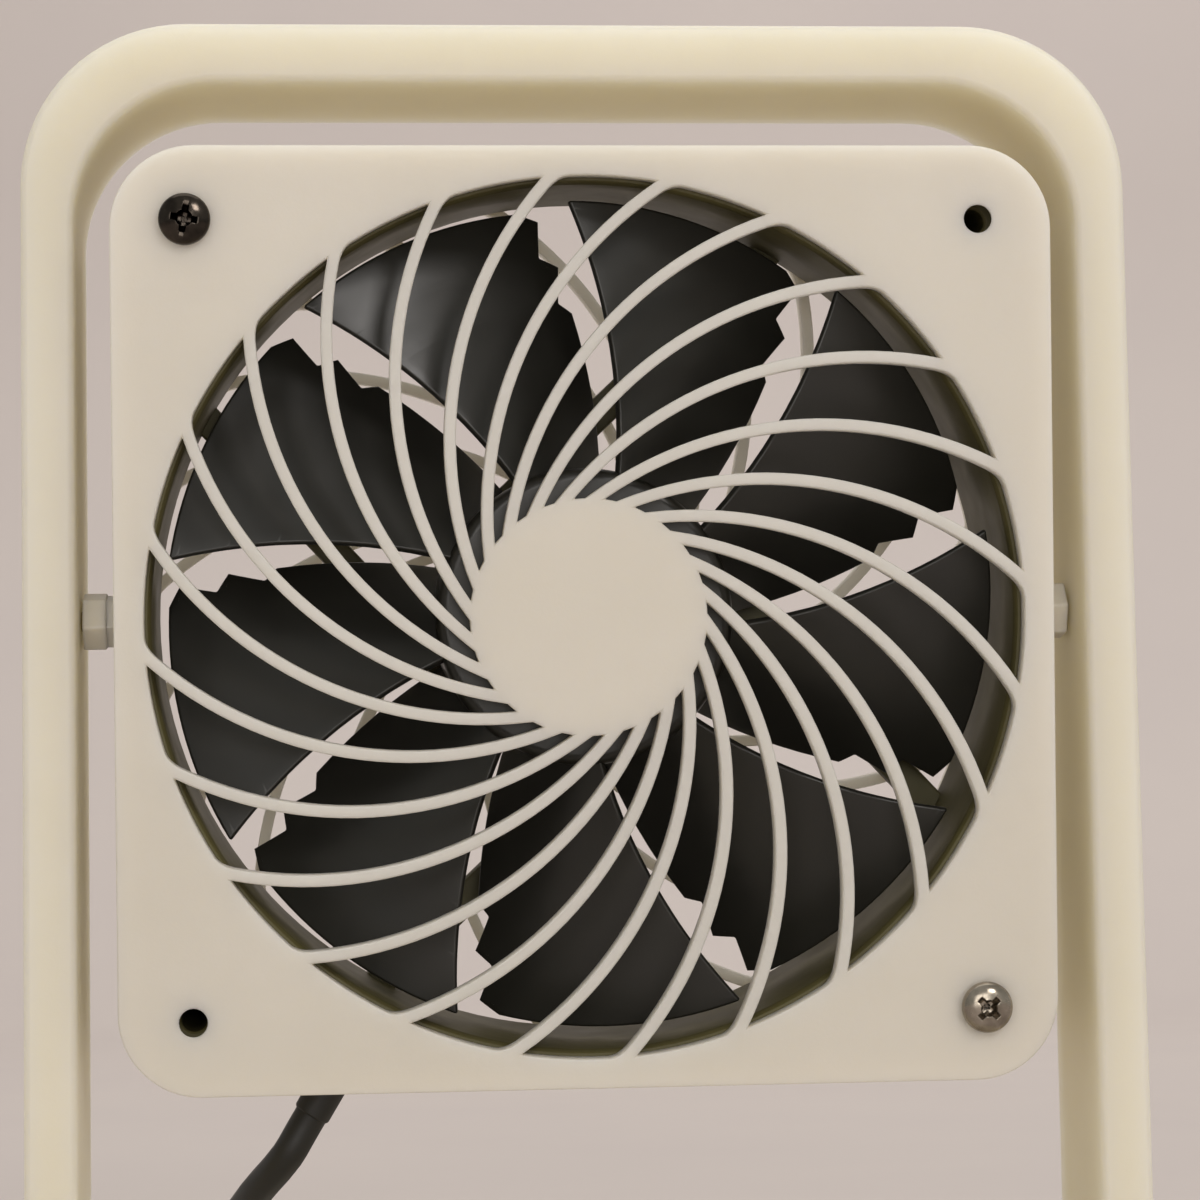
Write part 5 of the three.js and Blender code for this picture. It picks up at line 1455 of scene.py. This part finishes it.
@dataclass
class TiltingHead:
    """Everything between the legs: housing shells, fan frame, impeller, screws and pivots."""

    shell: SpiralShell = field(default_factory=SpiralShell)
    fan: FanFrame = field(default_factory=FanFrame)
    impeller: Impeller = field(default_factory=Impeller)
    leg_inner_x: float = 67.6
    leg_outer_x: float = 74.5
    hex_flats: float = 7.0
    collar_flats: float = 6.4
    hex_turn: float = 12.0
    hex_step: float = 1.5
    bore_r: float = 1.8
    neck_r: float = 2.5
    neck_flange_r: float = 4.2
    pivot_seat_depth: float = 2.0

    def housing(self, dresser: Dresser, finishes: Finishes) -> None:
        """Make the two shells.

        Args:
            dresser: Makes the pieces.
            finishes: The materials.
        """
        dresser.piece("front_housing", self.shell.mesh(), finishes.cream, Body.HEAD, "cream_plastic", TO_HEAD,
                      ("front_grille_shell",))
        dresser.piece("rear_housing", self.shell.mesh(), finishes.cream, Body.HEAD, "cream_plastic",
                      TO_HEAD @ HALF_TURN, ("rear_grille_shell",))

    def fan_unit(self, dresser: Dresser, finishes: Finishes) -> None:
        """Make the fan's frame and its impeller, and finish the motor's own pieces.

        Args:
            dresser: Makes the pieces.
            finishes: The materials.
        """
        dresser.piece("fan_duct_and_struts", self.fan.mesh(), finishes.duct, Body.HEAD, "smoky_plastic",
                      TO_HEAD, ("fan_frame",))
        dresser.piece("nine_blade_impeller", self.impeller.mesh(), finishes.blades, Body.ROTOR,
                      "black_plastic", TO_HEAD, ("impeller",), smooth_below=50)
        dresser.dress_nodes(finishes.steel, "motor_yoke", "motor_shaft", "shaft_clip", "stator_core")
        dresser.dress_nodes(finishes.copper, *(f"stator_winding_{i}" for i in range(1, 5)))
        dresser.dress_nodes(finishes.bronze, "bearing_sleeve")
        dresser.dress_nodes(finishes.ferrite, "ring_magnet")
        dresser.dress_nodes(finishes.board, "motor_board")

    def cover_screws(self, dresser: Dresser, finishes: Finishes) -> None:
        """Drive two screws from the front and two from the rear.

        Args:
            dresser: Makes the pieces.
            finishes: The materials.
        """
        reach = self.shell.screw_pitch / 2
        seat = -self.shell.half_depth - GAP
        places = [("front_screw_top_left", (-reach, reach), 10, False, Drive.CROSS_AND_SLOT),
                  ("front_screw_bottom_right", (reach, -reach), 45, False, Drive.CROSS),
                  ("rear_screw_top", (reach, reach), 20, True, Drive.CROSS),
                  ("rear_screw_bottom", (-reach, -reach), 65, True, Drive.CROSS)]
        for node, (x, z), angle, rear, drive in places:
            screw = PanHeadScrew(3.4, 2.1, 1.5, 14.0, drive).mesh()
            facing = HALF_TURN if rear else Matrix()
            place = TO_HEAD @ at(x, 0, z) @ facing @ at(0, seat, 0) @ turn(angle, "Y")
            # The top left screw's nickel is painted nearly black: a painted dark reflection.
            plating = finishes.nickel_painted_dark if drive is Drive.CROSS_AND_SLOT else finishes.nickel
            dresser.piece(f"pan_{node}", screw, plating, Body.HEAD, "nickel", place, (node,))

    def hexagon(self, flats: float, near: float, far: float, edge: float) -> BMesh:
        """Make a hexagonal collar with a round bore.

        Args:
            flats: Its size across flats.
            near: Where it starts along Y.
            far: Where it ends.
            edge: The rounding of its edges.

        Returns:
            A closed mesh.
        """
        corner = flats / 2 / math.cos(math.pi / 6)
        outline = [polar(corner, self.hex_turn + 60 * i) for i in range(6)]
        return rounded(extruded(outline, near, far, [circle(self.bore_r, 24)]), edge, 3)

    def pivots(self, dresser: Dresser, finishes: Finishes) -> None:
        """Make the hexagonal bushings beside the head and the screws through the legs.

        Args:
            dresser: Makes the pieces.
            finishes: The materials.
        """
        inner = self.shell.half + GAP
        outer = self.leg_inner_x - GAP
        wall = self.shell.half - self.shell.wall - GAP
        step = inner + self.hex_step
        for name, side in (("left", -1), ("right", 1)):
            nuts = [self.hexagon(self.collar_flats, inner, step + 0.1, 0.12),
                    self.hexagon(self.hex_flats, step, outer, 0.3)]
            flange, bore = self.neck_flange_r, self.bore_r
            neck = revolved([(0, wall - 0.65), (flange, wall - 0.65), (flange, wall), (self.neck_r, wall),
                             (self.neck_r, inner + 0.4), (bore, inner + 0.4), (bore, wall + GAP),
                             (0, wall + GAP)], 32)
            bushing = together(*nuts, neck)
            place = TO_HEAD @ turn(-90 * side, "Z")
            # The bushings wear the paler cream, painted light for the shade they sit in.
            dresser.piece(f"hex_pivot_{name}", bushing, finishes.bushing, Body.HEAD, "cream_plastic", place,
                          (f"pivot_bushing_{name}",))
            seat = self.leg_outer_x - self.pivot_seat_depth - GAP
            tip = self.shell.half - self.shell.wall + 2 * GAP
            screw = PanHeadScrew(2.9, 2.0, 1.5, seat - tip).mesh()
            place = TO_HEAD @ turn(90 * side, "Z") @ at(0, -seat, 0) @ turn(30, "Y")
            dresser.piece(f"pan_pivot_screw_{name}", screw, finishes.nickel, Body.HEAD, "nickel", place,
                          (f"pivot_screw_{name}",))


# ---------------------------------------------------------------- stand


@dataclass
class ArchStand:
    """The arch, the weighted base that its legs stand in, and four feet."""

    leg_inner_x: float = 67.6
    leg_outer_x: float = 74.5
    depth: float = 26.6
    bar: float = 7.9
    headroom: float = 71.4
    outer_r: float = 22.0
    inner_r: float = 19.0
    edge_round: float = 1.0
    bore_r: float = 3.2
    bore_depth: float = 2.6
    base_depth: float = 92.0
    base_margin: float = 3.5
    base_height: float = 11.0
    base_corner_r: float = 20.0
    base_round: float = 2.0
    foot_proud: float = 1.5
    socket_depth: float = 4.0
    cover: float = 2.4
    wall: float = 3.0
    foot_r: float = 6.0
    foot_inset: float = 16.0

    def arch(self, dresser: Dresser, finishes: Finishes) -> None:
        """Make the arch, with a counterbore in each leg for its pivot screw.

        Args:
            dresser: Makes the pieces.
            finishes: The materials.
        """
        top = TILT_AXIS_HEIGHT + self.headroom + self.bar
        foot = self.foot_proud + self.base_height - self.socket_depth + GAP
        xo, xi = self.leg_outer_x, self.leg_inner_x
        outer = [*arc((xo - self.outer_r, top - self.outer_r), self.outer_r, 0, 90, 18),
                 *arc((-xo + self.outer_r, top - self.outer_r), self.outer_r, 90, 180, 18)]
        low = top - self.bar - self.inner_r
        inner = [*arc((-xi + self.inner_r, low), self.inner_r, 180, 90, 18),
                 *arc((xi - self.inner_r, low), self.inner_r, 90, 0, 18)]
        outline = [(xo, foot), *outer, (-xo, foot), (-xi, foot), *inner, (xi, foot)]
        arch = extruded(outline, -self.depth / 2, self.depth / 2)
        bore = together(*(
            placed(revolved([(0, 0), (self.bore_r, 0), (self.bore_r, 6), (0, 6)], 40),
                   at(side * (xo - self.bore_depth), 0, TILT_AXIS_HEIGHT) @ turn(-90 * side, "Z"))
            for side in (-1, 1)))
        arch = rounded(carved(arch, bore), self.edge_round, 3, 50)
        dresser.piece("arch", arch, finishes.stand, Body.STAND, "cream_plastic", nodes=("stand_arch",))

    def base(self, dresser: Dresser, finishes: Finishes) -> None:
        """Make the base's shell with its leg sockets, and the cover under it.

        Args:
            dresser: Makes the pieces.
            finishes: The materials.
        """
        half_w, half_d = self.leg_outer_x + self.base_margin, self.base_depth / 2
        low, high = self.foot_proud, self.foot_proud + self.base_height
        outline = rounded_rectangle(half_w, half_d, self.base_corner_r, 20)
        slab = placed(extruded(outline, -high, -low), turn(-90, "X"))
        inner = rounded_rectangle(half_w - self.wall, half_d - self.wall, self.base_corner_r - self.wall, 20)
        cavity = placed(extruded(inner, -high + self.wall, -low + 1), turn(-90, "X"))
        slab = rounded(slab, self.base_round, 4, 50)
        slab = carved(slab, cavity)
        middle = (self.leg_inner_x + self.leg_outer_x) / 2
        width = self.leg_outer_x - self.leg_inner_x
        sockets = together(*(box((width + 2 * GAP, self.depth + 2 * GAP, 2 * self.socket_depth),
                                 (side * middle, 0, high)) for side in (-1, 1)))
        slab = carved(slab, sockets)
        dresser.piece("base_slab", slab, finishes.base, Body.STAND, "cream_plastic", nodes=("base_shell",))
        inset = self.wall + GAP
        outline = rounded_rectangle(half_w - inset, half_d - inset, self.base_corner_r - inset, 20)
        plate = placed(extruded(outline, -low - self.cover, -low), turn(-90, "X"))
        recesses = together(*(placed(revolved([(0, -9), (6.3, -9), (6.3, 1), (0, 1)], 32),
                                     at(x, y, low) @ turn(90, "X")) for x, y in self.foot_places()))
        plate = rounded(carved(plate, recesses), 0.25, 2)
        dresser.piece("underside_cover", plate, finishes.base, Body.STAND, "cream_plastic",
                      nodes=("base_cover",))
        dresser.dress_nodes(finishes.steel, "ballast_plate")
        dresser.dress_nodes(finishes.nickel, *(f"leg_screw_{i}" for i in range(1, 5)))

    def foot_places(self) -> list[Point]:
        """Give the four feet's places, in the order of their nodes.

        Returns:
            The places as (x, y).
        """
        x = self.leg_outer_x + self.base_margin - self.foot_inset
        y = self.base_depth / 2 - self.foot_inset
        return [(-x, -y), (x, -y), (x, y), (-x, y)]

    def feet(self, dresser: Dresser, finishes: Finishes) -> None:
        """Make the rubber feet, each with a shallow dish underneath.

        Args:
            dresser: Makes the pieces.
            finishes: The materials.
        """
        radius = self.foot_r
        for index, (x, y) in enumerate(self.foot_places(), 1):
            foot = revolved([(0, -0.35), (radius - 2.0, -0.35), (radius - 1.5, 0.0), (radius - 0.7, 0.0),
                             (radius - 0.2, -0.25), (radius, -0.7), (radius, -2.2), (0, -2.2)], 48)
            dresser.piece(f"silicone_foot_{index}", foot, finishes.foot, Body.STAND, "black_rubber",
                          TO_STAND @ at(x, y, 0) @ turn(-90, "X"), (f"rubber_foot_{index}",))


# ---------------------------------------------------------------- main


def main() -> None:
    """Build the camera and the cord first, then the stand and the head, and report each piece."""
    logging.basicConfig(level=logging.INFO, format="%(name)s: %(message)s")
    studio = Studio()
    studio.camera()
    dresser = Dresser()
    finishes = Finishes()
    lead = PowerLead()
    lead.jacket(dresser, finishes, [*lead.plug(dresser, finishes), lead.tie(dresser, finishes)])
    lead.gland(dresser, finishes)
    studio.light()
    studio.floor(finishes.studio)
    stand = ArchStand()
    stand.arch(dresser, finishes)
    stand.base(dresser, finishes)
    stand.feet(dresser, finishes)
    head = TiltingHead()
    head.housing(dresser, finishes)
    head.fan_unit(dresser, finishes)
    head.cover_screws(dresser, finishes)
    head.pivots(dresser, finishes)
    LOG.info("%d pieces made", dresser.count)


if __name__ == "__main__":
    main()
